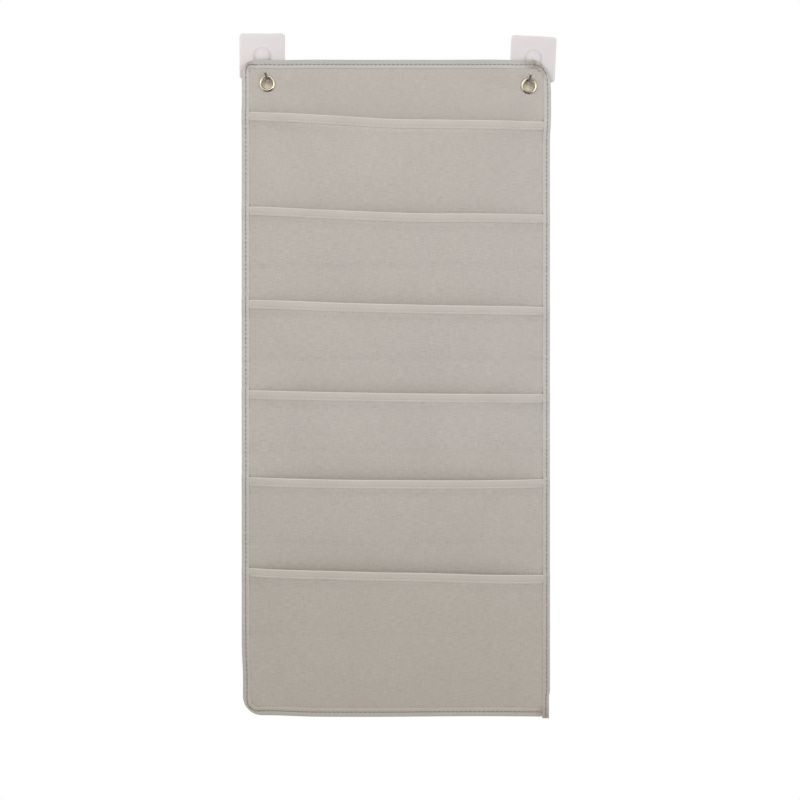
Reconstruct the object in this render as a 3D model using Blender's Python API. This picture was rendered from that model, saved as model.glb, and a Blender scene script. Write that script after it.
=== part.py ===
"""Wall file organizer: six sheer pockets on a bound cloth panel that hangs on two wire hooks.

Metres, +Z up. The wall is the plane y = 0 and the front faces -Y. x = 0 is the middle of the cloth,
z = 0 lies midway between the heights of the two hook domes. "Forward" means towards -Y.
"""

from math import atan2, ceil, cos, pi, radians, sin, sqrt, tan

import bmesh
import bpy
from mathutils import Vector

# Cloth panel and the tape that binds its edge
PANEL_WIDTH = 0.350
PANEL_HEIGHT = 0.750
PANEL_THICKNESS = 0.0008
TOP_LEFT_RADIUS = 0.016
TOP_RIGHT_RADIUS = 0.028
BOTTOM_LEFT_RADIUS = 0.024
BINDING_WIDTH = 0.009
BINDING_THICKNESS = 0.0006
BINDING_TAIL = 0.002
FOLD_DEPTH = 0.0016
FOLD_COUNT_SHARES = (1.15, 1.45)
FOLD_DEPTH_SHARES = (0.6, 0.4)
FOLD_PHASES_DEG = (50.0, -35.0)
FOLD_DRIFT_DEG = 130.0

# Pockets and the hems folded over their mouths
POCKET_COUNT = 6
POCKET_DEPTH = 0.163
TOP_BAND = 0.068
MESH_THICKNESS = 0.0004
MOUTH_BULGE = 0.018
RISE_POWER = 0.75
CROWN_POWER = 4
SEAM_STRIP = 0.003
HEM_WIDTH = 0.010
HEM_THICKNESS = 0.0004
LAYER_RAMP = 0.008
LAYER_MARGIN = 0.002

# Eyelets and the washers behind the panel
EYELET_LEFT_INSET = 0.029
EYELET_RIGHT_INSET = 0.023
EYELET_DROP = 0.0285
EYELET_RADIUS = 0.00935
EYELET_HOLE_RADIUS = 0.00575
EYELET_SHEET = 0.0004
EYELET_CREST = 0.0016
EYELET_ROLL_RADIUS = 0.0009
WASHER_RADIUS = 0.0089
WASHER_THICKNESS = 0.0005

# Adhesive wall hooks
PAD_SIDE = 0.049
PAD_THICKNESS = 0.0008
PLATE_SIDE = 0.052
PLATE_THICKNESS = 0.0016
PLATE_CORNER_RADIUS = 0.006
PLATE_EDGE_ROUND = 0.0005
RIGHT_PLATE_TURN_DEG = 3.0
DOME_RADIUS = 0.010
DOME_HEIGHT = 0.0056
WIRE_RADIUS = 0.0016
WIRE_EYE_RADIUS = 0.0040
WIRE_EYE_BEND = 0.0030
WIRE_EYE_END_DEG = 228.0
HOOK_REACH = 0.0290
HOOK_BEND_RADIUS = 0.0060
HOOK_OPENING_DEG = 135.0
HOOK_TIP_LENGTH = 0.0085
HOOK_LEAN_DEG = 11.0
LEVEL_DIFFERENCE = 0.0024

# Clearance between touching pieces, and how far a cutter runs past what it cuts
GAP = 0.0003
HANG_GAP = 0.0004
OVERRUN = 0.002
MERGE_DISTANCE = 0.00001

# Facets
COLUMN_COUNT = 11
ROUND_SEGMENTS = 24
DOME_RINGS = 6
CORNER_SEGMENTS = 5
CORNER_ROW_SHARES = (0.0, 0.05, 0.2, 0.5, 1.0)
PANEL_ROW_COUNT = 15
WIRE_BEVEL_RESOLUTION = 3
ARC_STEP_DEG = 18.0

# Places worked out from the sizes above
HALF_WIDTH = PANEL_WIDTH / 2
EDGE_INSET = BINDING_THICKNESS + GAP
PLATE_BACK = PAD_THICKNESS + GAP
PLATE_FRONT = PLATE_BACK + PLATE_THICKNESS
WIRE_FORWARD = PLATE_FRONT + GAP + WIRE_RADIUS
HANG_FORWARD = WIRE_FORWARD + HOOK_BEND_RADIUS
EYELET_MIDDLE_Z = WIRE_RADIUS + HANG_GAP - HOOK_REACH - EYELET_HOLE_RADIUS
PANEL_TOP = EYELET_MIDDLE_Z + EYELET_DROP
PANEL_BOTTOM = PANEL_TOP - PANEL_HEIGHT
POCKET_PITCH = (PANEL_HEIGHT - TOP_BAND - POCKET_DEPTH) / (POCKET_COUNT - 1)

# How far forward of the panel's middle surface each layer of cloth lies at the side seams
PANEL_FACE = PANEL_THICKNESS / 2
FIRST_LAYER = PANEL_FACE + GAP + MESH_THICKNESS / 2
LAYER_RISE = MESH_THICKNESS + GAP
HEM_HALF_GAP = MESH_THICKNESS / 2 + GAP
HEM_HALF_DEPTH = HEM_HALF_GAP + HEM_THICKNESS

CLOTH_COLOUR = (0.445, 0.412, 0.376)
MESH_COLOUR = (0.490, 0.455, 0.410)
TAPE_COLOUR = (0.500, 0.470, 0.435)
PLASTIC_COLOUR = (0.760, 0.720, 0.715)
PAD_COLOUR = (0.800, 0.780, 0.770)
STEEL_COLOUR = (0.560, 0.560, 0.570)
EYELET_COLOUR = (0.620, 0.580, 0.510)

SIDES = {"left": -1, "right": 1}


def clear_scene():
    """Remove every object that the file holds."""
    for item in list(bpy.data.objects):
        bpy.data.objects.remove(item)


def make_material(name, colour, roughness, metallic=0.0):
    """Make a plain Principled material."""
    material = bpy.data.materials.new(name)
    material.use_nodes = True
    shader = material.node_tree.nodes["Principled BSDF"]
    shader.inputs["Base Color"].default_value = (*colour, 1.0)
    shader.inputs["Roughness"].default_value = roughness
    shader.inputs["Metallic"].default_value = metallic
    return material


def add_object(name, data, material, place=(0.0, 0.0, 0.0), turn=0.0):
    """Link data to the scene under a name, placed and turned about the wall's normal."""
    item = bpy.data.objects.new(name, data)
    item.location = place
    item.rotation_euler = (0.0, turn, 0.0)
    if material is not None:
        data.materials.append(material)
    bpy.context.scene.collection.objects.link(item)
    return item


def close_mesh(name, shape, sharp_angle=radians(35.0)):
    """Turn a bmesh into mesh data with its faces pointing out and its round faces smooth."""
    bmesh.ops.remove_doubles(shape, verts=shape.verts, dist=MERGE_DISTANCE)
    bmesh.ops.recalc_face_normals(shape, faces=shape.faces)
    data = bpy.data.meshes.new(name)
    shape.to_mesh(data)
    shape.free()
    data.shade_smooth()
    data.set_sharp_from_angle(angle=sharp_angle)
    return data


def make_cutter(item):
    """Mark an object as a guide that is not a piece of the product."""
    item.hide_render = True
    item.display_type = "WIRE"
    return item


def combine(item, tool, operation):
    """Join a tool to an object, or cut it out, with a live Boolean."""
    modifier = item.modifiers.new(tool.name, "BOOLEAN")
    modifier.operation = operation
    modifier.solver = "EXACT"
    modifier.object = tool


def revolve(name, profile, closed=True):
    """Turn a profile of (radius, forward) points about the wall's normal."""
    shape = bmesh.new()
    points = [shape.verts.new((radius, -forward, 0.0)) for radius, forward in profile]
    pairs = list(zip(points, points[1:]))
    if closed:
        pairs.append((points[-1], points[0]))
    edges = [shape.edges.new(pair) for pair in pairs]
    bmesh.ops.spin(shape, geom=points + edges, axis=(0.0, 1.0, 0.0), cent=(0.0, 0.0, 0.0),
                   steps=ROUND_SEGMENTS, angle=2 * pi)
    return close_mesh(name, shape)


def loft(name, rings):
    """Skin closed rings of points in order and close both ends."""
    shape = bmesh.new()
    loops = [[shape.verts.new(point) for point in ring] for ring in rings]
    count = len(loops[0])
    for first, second in zip(loops, loops[1:]):
        for index in range(count):
            following = (index + 1) % count
            shape.faces.new((first[index], first[following], second[following], second[index]))
    shape.faces.new(loops[0])
    shape.faces.new(loops[-1])
    return close_mesh(name, shape)


def grid(name, rows):
    """Make an open sheet from rows of points."""
    shape = bmesh.new()
    lines = [[shape.verts.new(point) for point in row] for row in rows]
    for upper, lower in zip(lines, lines[1:]):
        for index in range(len(upper) - 1):
            shape.faces.new((upper[index], lower[index], lower[index + 1], upper[index + 1]))
    return close_mesh(name, shape)


def thicken(item, thickness):
    """Give an open sheet its thickness, half to each side."""
    modifier = item.modifiers.new("thickness", "SOLIDIFY")
    modifier.thickness = thickness
    modifier.offset = 0.0
    modifier.use_even_offset = True


def even_places(start, end, count):
    """Places from start to end, both included, in count equal steps."""
    return [start + (end - start) * index / count for index in range(count + 1)]


def interpolate(steps, place):
    """Read a value at a place from (place, value) steps that rise in place."""
    if place <= steps[0][0]:
        return steps[0][1]
    for (low, low_value), (high, high_value) in zip(steps, steps[1:]):
        if place <= high:
            return low_value + (high_value - low_value) * (place - low) / (high - low)
    return steps[-1][1]


def corner_radii(side):
    """Top and bottom corner radius of the bound edge on one side."""
    if side < 0:
        return TOP_LEFT_RADIUS, BOTTOM_LEFT_RADIUS
    return TOP_RIGHT_RADIUS, 0.0


def edge_x(side, z, inset):
    """Where the cloth's outline, drawn in by an inset, runs on one side at a height."""
    top_radius, bottom_radius = (max(radius - inset, 0.0) for radius in corner_radii(side))
    above = z - (PANEL_TOP - inset - top_radius)
    below = (PANEL_BOTTOM + inset + bottom_radius) - z
    radius, reach = (top_radius, above) if above > 0 else (bottom_radius, below)
    reach = min(max(reach, 0.0), radius)
    pull = radius - sqrt(radius * radius - reach * reach)
    return side * (HALF_WIDTH - inset - pull)


def panel_forward(x, z):
    """How far forward of the wall the hanging panel's middle surface lies.

    It hangs straight at the eyelets, and its soft upright folds grow towards the bottom.
    """
    across = x / PANEL_WIDTH
    down = (PANEL_TOP - z) / PANEL_HEIGHT
    wave = 0.0
    for turns, share, phase in zip(FOLD_COUNT_SHARES, FOLD_DEPTH_SHARES, FOLD_PHASES_DEG):
        angle = 2 * pi * turns * across + radians(phase + FOLD_DRIFT_DEG * down)
        wave += share * sin(angle)
    return HANG_FORWARD + FOLD_DEPTH * down * wave


def pocket_bottom(index):
    """Height of a pocket's lower edge, where index 0 is the lowest pocket."""
    if index == 0:
        return PANEL_BOTTOM + EDGE_INSET
    return PANEL_BOTTOM + index * POCKET_PITCH


def pocket_crease(index):
    """Height at which a pocket starts to stand away from the panel."""
    if index == 0:
        return PANEL_BOTTOM + BINDING_WIDTH
    return pocket_bottom(index) + SEAM_STRIP


def pocket_mouth(index):
    """Height of a pocket's top edge."""
    return PANEL_BOTTOM + index * POCKET_PITCH + POCKET_DEPTH


def layer_steps(index):
    """Steps of (height, forward of the panel) of a pocket's cloth at the side seams.

    A pocket lies on the panel, climbs over the lower edge of the pocket above it, and climbs once
    more under its own hem, whose back wall lies behind it.
    """
    mouth = pocket_mouth(index)
    hem = mouth - HEM_WIDTH - LAYER_MARGIN
    layer = FIRST_LAYER
    steps = [(pocket_bottom(index), layer)]
    for upper in range(index + 1, POCKET_COUNT):
        if pocket_bottom(upper) < mouth:
            over = min(pocket_bottom(upper) - LAYER_MARGIN, hem - LAYER_RAMP - LAYER_MARGIN)
            steps += [(over - LAYER_RAMP, layer), (over, layer + LAYER_RISE)]
            layer += LAYER_RISE
    under_hem = layer + GAP + HEM_THICKNESS
    return steps + [(hem - LAYER_RAMP, layer), (hem, under_hem), (mouth, under_hem)]


def pocket_forward(index, x, z):
    """How far forward of the wall the middle of a pocket's cloth lies."""
    left = edge_x(-1, z, BINDING_WIDTH)
    right = edge_x(1, z, BINDING_WIDTH)
    across = (2 * x - left - right) / (right - left)
    crown = max(1 - abs(across) ** CROWN_POWER, 0.0)
    risen = (z - pocket_crease(index)) / (pocket_mouth(index) - pocket_crease(index))
    bulge = MOUTH_BULGE * crown * max(risen, 0.0) ** RISE_POWER
    return panel_forward(x, z) + interpolate(layer_steps(index), z) + bulge


def column_places(z):
    """Places across the cloth at a height: the sheet's edges, the tape's inner edges and between."""
    left = edge_x(-1, z, EDGE_INSET)
    right = edge_x(1, z, EDGE_INSET)
    strip = BINDING_WIDTH - EDGE_INSET
    return [left, *even_places(left + strip, right - strip, COLUMN_COUNT), right]


def corner_rows(edge, radius, direction):
    """Heights that follow a rounded corner from its edge inwards."""
    return [edge + direction * share * radius for share in CORNER_ROW_SHARES]


def panel_rows():
    """Heights of the panel's rows, from the top down."""
    top = corner_rows(PANEL_TOP - EDGE_INSET, TOP_RIGHT_RADIUS, -1)
    bottom = corner_rows(PANEL_BOTTOM + EDGE_INSET, BOTTOM_LEFT_RADIUS, 1)
    return top + even_places(top[-1], bottom[-1], PANEL_ROW_COUNT)[1:-1] + bottom[::-1]


def pocket_rows(index):
    """Heights of a pocket's rows, from the bottom up, with one at each change of layer."""
    steps = [height for height, _ in layer_steps(index)]
    rows = [pocket_bottom(index), pocket_crease(index)]
    if index == 0:
        rows = corner_rows(pocket_bottom(index), BOTTOM_LEFT_RADIUS, 1)
        rows = sorted(rows + [pocket_crease(index)])
    steps = [height for height in steps if height > rows[-1]]
    steps[-1] = pocket_mouth(index) - HEM_THICKNESS - GAP
    spacing = POCKET_DEPTH / COLUMN_COUNT * 2
    for height in steps:
        count = max(1, ceil((height - rows[-1]) / spacing))
        rows += even_places(rows[-1], height, count)[1:]
    return rows


def make_panel(material):
    """The backing cloth, with a round hole for each eyelet's barrel."""
    rows = [[(x, -panel_forward(x, z), z) for x in column_places(z)] for z in panel_rows()]
    panel = add_object("back_panel", grid("back_panel", rows), material)
    thicken(panel, PANEL_THICKNESS)
    radius = EYELET_HOLE_RADIUS + EYELET_SHEET + GAP
    profile = [(0.0, -OVERRUN), (radius, -OVERRUN), (radius, OVERRUN), (0.0, OVERRUN)]
    for name in SIDES:
        punch = revolve("punch_" + name, profile, closed=False)
        cutter = make_cutter(add_object("punch_" + name, punch, None, eyelet_place(name)))
        combine(panel, cutter, "DIFFERENCE")


def make_pocket(index, material):
    """One sheer pocket front, numbered from the top as pocket_1 and on."""
    name = "pocket_{}".format(POCKET_COUNT - index)
    rows = [[(x, -pocket_forward(index, x, z), z) for x in column_places(z)]
            for z in reversed(pocket_rows(index))]
    pocket = add_object(name, grid(name, rows), material)
    thicken(pocket, MESH_THICKNESS)


def hem_section(mouth):
    """Section of the tape folded over a mouth, as (height, forward of the pocket's cloth)."""
    low = mouth - HEM_WIDTH
    fold = mouth - HEM_THICKNESS
    shoulder = HEM_HALF_DEPTH - HEM_THICKNESS
    front = [(low, HEM_HALF_GAP), (low, HEM_HALF_DEPTH), (fold, HEM_HALF_DEPTH), (mouth, shoulder)]
    back = [(z, -offset) for z, offset in reversed(front)]
    return front + back + [(fold, -HEM_HALF_GAP), (fold, HEM_HALF_GAP)]


def make_hem(index, material):
    """The hem tape folded over one pocket's mouth."""
    name = "pocket_{}_hem".format(POCKET_COUNT - index)
    mouth = pocket_mouth(index)
    section = hem_section(mouth)
    rings = [[(x, -pocket_forward(index, x, z) - offset, z) for z, offset in section]
             for x in column_places(mouth)]
    add_object(name, loft(name, rings), material)


def pocket_cover(index, z):
    """How far forward of the panel a pocket or its hem reaches at the side seams at a height."""
    mouth = pocket_mouth(index)
    if not pocket_bottom(index) <= z <= mouth:
        return PANEL_FACE
    layer = interpolate(layer_steps(index), z)
    return layer + (HEM_HALF_DEPTH if z >= mouth - HEM_WIDTH else MESH_THICKNESS / 2)


def binding_level(z):
    """Inner face of the tape's front wall, forward of the panel, clear of all that it covers."""
    middle = max(z, pocket_bottom(0))
    nearby = even_places(middle - LAYER_MARGIN, middle + LAYER_MARGIN, 4)
    return GAP + max(pocket_cover(index, place)
                     for index in range(POCKET_COUNT) for place in nearby)


def binding_heights():
    """Heights on the two sides at which the tape starts or ends a step over what it covers."""
    heights = [PANEL_BOTTOM - BINDING_TAIL]
    for index in range(POCKET_COUNT):
        mouth = pocket_mouth(index)
        heights += [height - LAYER_MARGIN / 2 for height, _ in layer_steps(index)[1:-2]]
        heights += [mouth - HEM_WIDTH - LAYER_MARGIN, mouth + LAYER_MARGIN / 2]
        heights.append(mouth + 2 * LAYER_MARGIN)
    return sorted(heights)


def binding_ring(x, z, inward, level):
    """Section of the edge tape at a point of the outline, with its walls reaching inwards."""
    back_inside = -PANEL_FACE - GAP
    back = back_inside - BINDING_THICKNESS
    front = level + BINDING_THICKNESS
    fold = BINDING_THICKNESS
    section = [(BINDING_WIDTH, back), (fold, back), (0.0, back + fold), (0.0, front - fold),
               (fold, front), (BINDING_WIDTH, front), (BINDING_WIDTH, level), (fold, level),
               (fold, back_inside), (BINDING_WIDTH, back_inside)]
    ring = []
    for depth, forward in section:
        place_x = x + inward[0] * depth
        place_z = z + inward[1] * depth
        ring.append((place_x, -panel_forward(place_x, place_z) - forward, place_z))
    return ring


def corner_arc(centre_x, centre_z, radius, start_deg, end_deg):
    """Stations round a corner: (x, z, inward direction), its two ends left to the runs."""
    stations = []
    for angle in even_places(radians(start_deg), radians(end_deg), CORNER_SEGMENTS)[1:-1]:
        outward = (cos(angle), sin(angle))
        place = (centre_x + radius * outward[0], centre_z + radius * outward[1])
        stations.append((*place, (-outward[0], -outward[1])))
    return stations


def binding_stations():
    """Stations along the outline, clockwise seen from the front, from its lower right corner."""
    heights = binding_heights()
    low_left = PANEL_BOTTOM + BOTTOM_LEFT_RADIUS
    left_top = PANEL_TOP - TOP_LEFT_RADIUS
    right_top = PANEL_TOP - TOP_RIGHT_RADIUS
    low_end = -HALF_WIDTH + BOTTOM_LEFT_RADIUS
    start = HALF_WIDTH - BINDING_WIDTH - GAP
    stations = [(x, PANEL_BOTTOM, (0.0, 1.0)) for x in even_places(start, low_end, COLUMN_COUNT)]
    stations += corner_arc(low_end, low_left, BOTTOM_LEFT_RADIUS, 270.0, 180.0)
    left = [low_left, *(z for z in heights if low_left < z < left_top), left_top]
    stations += [(-HALF_WIDTH, z, (1.0, 0.0)) for z in left]
    top_start = -HALF_WIDTH + TOP_LEFT_RADIUS
    top_end = HALF_WIDTH - TOP_RIGHT_RADIUS
    stations += corner_arc(top_start, left_top, TOP_LEFT_RADIUS, 180.0, 90.0)
    top = even_places(top_start, top_end, COLUMN_COUNT)
    stations += [(x, PANEL_TOP, (0.0, -1.0)) for x in top]
    stations += corner_arc(top_end, right_top, TOP_RIGHT_RADIUS, 90.0, 0.0)
    right = [right_top, *(z for z in reversed(heights) if z < right_top)]
    stations += [(HALF_WIDTH, z, (-1.0, 0.0)) for z in right]
    return stations


def make_binding(material):
    """The one tape that binds the whole edge and catches the sides of every pocket."""
    rings = [binding_ring(x, z, inward, binding_level(z)) for x, z, inward in binding_stations()]
    add_object("edge_binding", loft("edge_binding", rings), material)


def side_drop(name):
    """How far the hook and eyelet on one side lie below the middle height."""
    return SIDES[name] * LEVEL_DIFFERENCE / 2


def eyelet_place(name):
    """Centre of an eyelet on the panel's middle surface."""
    inset = EYELET_LEFT_INSET if name == "left" else EYELET_RIGHT_INSET
    x = SIDES[name] * (HALF_WIDTH - inset)
    z = EYELET_MIDDLE_Z - side_drop(name)
    return Vector((x, -panel_forward(x, z), z))


def hook_place(name):
    """Centre of a hook's dome on the wall, outboard of its eyelet by the wire's lean."""
    lean = HOOK_REACH * tan(radians(HOOK_LEAN_DEG))
    return Vector((eyelet_place(name).x + SIDES[name] * lean, 0.0, -side_drop(name)))


def half_ring(centre, width, height, start_deg, end_deg, count):
    """Points of a half-round section as (radius, forward), its centre given the same way."""
    angles = even_places(radians(start_deg), radians(end_deg), count)
    return [(centre[0] + width * cos(angle), centre[1] + height * sin(angle)) for angle in angles]


def eyelet_profile():
    """Sheet section of an eyelet: a domed flange, its barrel and the roll that grips the washer."""
    front = PANEL_FACE + GAP
    back = -(PANEL_FACE + GAP + WASHER_THICKNESS + GAP)
    crown = ((EYELET_RADIUS + EYELET_HOLE_RADIUS) / 2, front)
    reach = (EYELET_RADIUS - EYELET_HOLE_RADIUS) / 2
    roll = (EYELET_HOLE_RADIUS + EYELET_ROLL_RADIUS, back)
    inner_roll = EYELET_ROLL_RADIUS - EYELET_SHEET
    profile = half_ring(crown, reach, EYELET_CREST, 0.0, 180.0, CORNER_SEGMENTS + 1)
    profile += half_ring(roll, EYELET_ROLL_RADIUS, EYELET_ROLL_RADIUS, 180.0, 360.0, 4)
    profile += half_ring(roll, inner_roll, inner_roll, 360.0, 180.0, 2)
    profile += half_ring(crown, reach - EYELET_SHEET, EYELET_CREST - EYELET_SHEET, 180.0, 0.0,
                         CORNER_SEGMENTS - 1)
    return profile


def make_eyelet(name, material):
    """The turned front half of an eyelet, its barrel through the panel."""
    data = revolve("eyelet_" + name, eyelet_profile())
    add_object("eyelet_" + name, data, material, eyelet_place(name))


def make_washer(name, material):
    """The ring behind the panel that the eyelet's barrel is rolled over."""
    front = -(PANEL_FACE + GAP)
    back = front - WASHER_THICKNESS
    hole = EYELET_HOLE_RADIUS + EYELET_SHEET + GAP
    rim = WASHER_THICKNESS / 2
    profile = [(hole, front), (WASHER_RADIUS, front), (WASHER_RADIUS, front - rim),
               (WASHER_RADIUS - rim, back), (hole, back)]
    data = revolve("eyelet_washer_" + name, profile)
    add_object("eyelet_washer_" + name, data, material, eyelet_place(name))


def rounded_slab(name, side, radius, back, front):
    """A square slab with rounded corners between two distances forward of the wall."""
    shape = bmesh.new()
    outline = []
    reach = side / 2 - radius
    for corner in range(4):
        start = corner * pi / 2
        centre_x = reach if corner in (0, 3) else -reach
        centre_z = reach if corner in (0, 1) else -reach
        for angle in even_places(start, start + pi / 2, CORNER_SEGMENTS):
            place = (centre_x + radius * cos(angle), -back, centre_z + radius * sin(angle))
            outline.append(shape.verts.new(place))
    face = shape.faces.new(outline)
    result = bmesh.ops.extrude_face_region(shape, geom=[face])
    moved = [part for part in result["geom"] if isinstance(part, bmesh.types.BMVert)]
    bmesh.ops.translate(shape, verts=moved, vec=(0.0, back - front, 0.0))
    return close_mesh(name, shape)


def dome_profile():
    """Outer profile of a hook's dome, sunk a little into its plate."""
    profile = [(0.0, PLATE_BACK + PLATE_THICKNESS / 2), (DOME_RADIUS, PLATE_BACK + PLATE_THICKNESS / 2)]
    for angle in even_places(0.0, pi / 2, DOME_RINGS)[:-1]:
        profile.append((DOME_RADIUS * cos(angle), PLATE_FRONT + DOME_HEIGHT * sin(angle)))
    profile.append((0.0, PLATE_FRONT + DOME_HEIGHT))
    return profile


def cavity_radius():
    """Radius of the round room for the wire's eye inside a dome."""
    return WIRE_EYE_RADIUS + WIRE_RADIUS + GAP


def cavity_front():
    """How far forward of the wall the room for the wire's eye reaches."""
    return WIRE_FORWARD + WIRE_RADIUS + GAP


def make_plate(name, material):
    """A hook's moulded plate: rounded slab, hollow dome, and a slot where the wire leaves it."""
    place = hook_place(name)
    turn = radians(RIGHT_PLATE_TURN_DEG) if name == "right" else 0.0
    slab = rounded_slab("hook_plate_" + name, PLATE_SIDE, PLATE_CORNER_RADIUS, PLATE_BACK, PLATE_FRONT)
    plate = add_object("hook_plate_" + name, slab, material, place, turn)
    rounding = plate.modifiers.new("edge", "BEVEL")
    rounding.width = PLATE_EDGE_ROUND
    rounding.segments = 2
    rounding.limit_method = "ANGLE"
    rounding.angle_limit = radians(60.0)
    dome = revolve("dome_" + name, dome_profile(), closed=False)
    combine(plate, make_cutter(add_object("dome_" + name, dome, None, place)), "UNION")
    room = [(0.0, PLATE_BACK - OVERRUN), (cavity_radius(), PLATE_BACK - OVERRUN),
            (cavity_radius(), cavity_front()), (0.0, cavity_front())]
    cavity = revolve("cavity_" + name, room, closed=False)
    combine(plate, make_cutter(add_object("cavity_" + name, cavity, None, place)), "DIFFERENCE")
    combine(plate, make_cutter(make_slot(name, place)), "DIFFERENCE")


def make_slot(name, place):
    """Cutter for the slot in a dome's lower wall, in line with the leaning wire."""
    half = WIRE_RADIUS + GAP
    back = -(PLATE_FRONT - GAP / 2)
    front = -cavity_front()
    top = -WIRE_EYE_RADIUS / 2
    bottom = -(DOME_RADIUS + OVERRUN)
    rings = [[(x, back, bottom), (x, front, bottom), (x, front, top), (x, back, top)]
             for x in (-half, half)]
    turn = SIDES[name] * radians(HOOK_LEAN_DEG)
    return add_object("slot_" + name, loft("slot_" + name, rings), None, place, turn)


def make_retainer(name, material):
    """The pin through the wire's eye, with a head that fills the back of the dome's room."""
    pin = WIRE_EYE_RADIUS - WIRE_RADIUS - GAP
    head = cavity_radius() - GAP
    profile = [(0.0, PLATE_BACK), (head, PLATE_BACK), (head, PLATE_FRONT), (pin, PLATE_FRONT),
               (pin, cavity_front() - GAP), (0.0, cavity_front() - GAP)]
    data = revolve("hook_retainer_" + name, profile, closed=False)
    add_object("hook_retainer_" + name, data, material, hook_place(name))


def arc_points(centre, radius, start_deg, end_deg):
    """Points of an arc in steps of about ARC_STEP_DEG, as (first, second) coordinates."""
    count = max(2, ceil(abs(end_deg - start_deg) / ARC_STEP_DEG))
    angles = even_places(radians(start_deg), radians(end_deg), count)
    return [(centre[0] + radius * cos(angle), centre[1] + radius * sin(angle)) for angle in angles]


def wire_route():
    """Centre line of a hook's wire and its thickness share, before the wire leans.

    It runs round the pin as an eye, bends into a straight leg, turns forward under the eyelet and
    rises to its rounded tip.
    """
    span = WIRE_EYE_RADIUS + WIRE_EYE_BEND
    bend_drop = sqrt(span * span - WIRE_EYE_BEND * WIRE_EYE_BEND)
    join = atan2(-bend_drop, WIRE_EYE_BEND) * 180.0 / pi
    eye = arc_points((0.0, 0.0), WIRE_EYE_RADIUS, WIRE_EYE_END_DEG, join)
    bend = arc_points((WIRE_EYE_BEND, -bend_drop), WIRE_EYE_BEND, join + 180.0, 180.0)
    route = [Vector((x, -WIRE_FORWARD, z)) for x, z in eye + bend[1:]]
    valley = HOOK_REACH / cos(radians(HOOK_LEAN_DEG))
    centre = (HANG_FORWARD, -valley + HOOK_BEND_RADIUS)
    hook = arc_points(centre, HOOK_BEND_RADIUS, 180.0, 180.0 + HOOK_OPENING_DEG)
    route += [Vector((0.0, -forward, z)) for forward, z in hook]
    rise = radians(HOOK_OPENING_DEG - 90.0)
    onward = Vector((0.0, -cos(rise), sin(rise)))
    end = route[-1]
    shares = [1.0] * len(route)
    for angle in even_places(0.0, radians(80.0), 4):
        route.append(end + onward * (HOOK_TIP_LENGTH - WIRE_RADIUS * (1 - sin(angle))))
        shares.append(cos(angle))
    return route, shares


def make_wire(name, material):
    """One bent steel wire hook, turned by its lean about the dome's pin."""
    data = bpy.data.curves.new("hook_wire_" + name, "CURVE")
    data.dimensions = "3D"
    data.bevel_depth = WIRE_RADIUS
    data.bevel_resolution = WIRE_BEVEL_RESOLUTION
    data.use_fill_caps = True
    route, shares = wire_route()
    spline = data.splines.new("POLY")
    spline.points.add(len(route) - 1)
    for point, place, share in zip(spline.points, route, shares):
        point.co = (*place, 1.0)
        point.radius = share
    turn = SIDES[name] * radians(HOOK_LEAN_DEG)
    add_object("hook_wire_" + name, data, material, hook_place(name), turn)


def make_pad(name, material):
    """The adhesive pad between a hook's plate and the wall."""
    turn = radians(RIGHT_PLATE_TURN_DEG) if name == "right" else 0.0
    radius = PLATE_CORNER_RADIUS - (PLATE_SIDE - PAD_SIDE) / 2
    data = rounded_slab("adhesive_pad_" + name, PAD_SIDE, radius, 0.0, PAD_THICKNESS)
    add_object("adhesive_pad_" + name, data, material, hook_place(name), turn)


def build():
    """Make every piece of the organizer and its hooks."""
    clear_scene()
    cloth = make_material("panel_cloth", CLOTH_COLOUR, 0.9)
    sheer = make_material("pocket_mesh", MESH_COLOUR, 0.85)
    tape = make_material("tape", TAPE_COLOUR, 0.85)
    plastic = make_material("clear_plastic", PLASTIC_COLOUR, 0.2)
    adhesive = make_material("adhesive", PAD_COLOUR, 0.5)
    steel = make_material("steel_wire", STEEL_COLOUR, 0.25, 1.0)
    nickel = make_material("eyelet_metal", EYELET_COLOUR, 0.3, 1.0)
    make_panel(cloth)
    make_binding(tape)
    for index in reversed(range(POCKET_COUNT)):
        make_pocket(index, sheer)
        make_hem(index, tape)
    for name in SIDES:
        make_eyelet(name, nickel)
        make_washer(name, nickel)
        make_pad(name, adhesive)
        make_plate(name, plastic)
        make_retainer(name, plastic)
        make_wire(name, steel)


build()
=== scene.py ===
"""Looks of the wall file organizer: a bound cloth panel with six sheer pockets on two wire hooks.

Metres, +Z up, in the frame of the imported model. The wall is the plane y = 0 and the front faces -Y.
"Forward" is the distance from the wall towards -Y. Heights and places across are first worked out on
the flat cut cloth, then `HangingCloth` hangs every layer by one rule, so that all layers fit.
"""

import logging
from dataclasses import dataclass, field
from enum import Enum
from math import asin, atan2, ceil, cos, hypot, pi, radians, sin, sqrt, tan
from typing import Callable, Sequence

import bmesh
import bpy
from mathutils import Matrix, Vector


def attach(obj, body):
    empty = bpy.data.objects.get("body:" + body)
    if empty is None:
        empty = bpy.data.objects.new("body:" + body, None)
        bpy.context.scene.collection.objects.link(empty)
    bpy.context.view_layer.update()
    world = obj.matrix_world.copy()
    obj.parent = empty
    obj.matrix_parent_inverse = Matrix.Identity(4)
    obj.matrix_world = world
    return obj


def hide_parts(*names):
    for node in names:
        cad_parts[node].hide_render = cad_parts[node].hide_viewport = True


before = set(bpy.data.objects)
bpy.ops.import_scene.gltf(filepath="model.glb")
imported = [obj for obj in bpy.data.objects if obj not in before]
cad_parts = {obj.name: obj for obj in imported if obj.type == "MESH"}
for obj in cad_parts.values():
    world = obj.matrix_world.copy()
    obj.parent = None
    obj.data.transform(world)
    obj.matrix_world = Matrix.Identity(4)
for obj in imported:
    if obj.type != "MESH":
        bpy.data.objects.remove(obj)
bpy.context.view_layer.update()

CLOTH_MAP = "cloth"
FACING = "facing"
CLOTH_BODY = "organizer"
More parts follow.
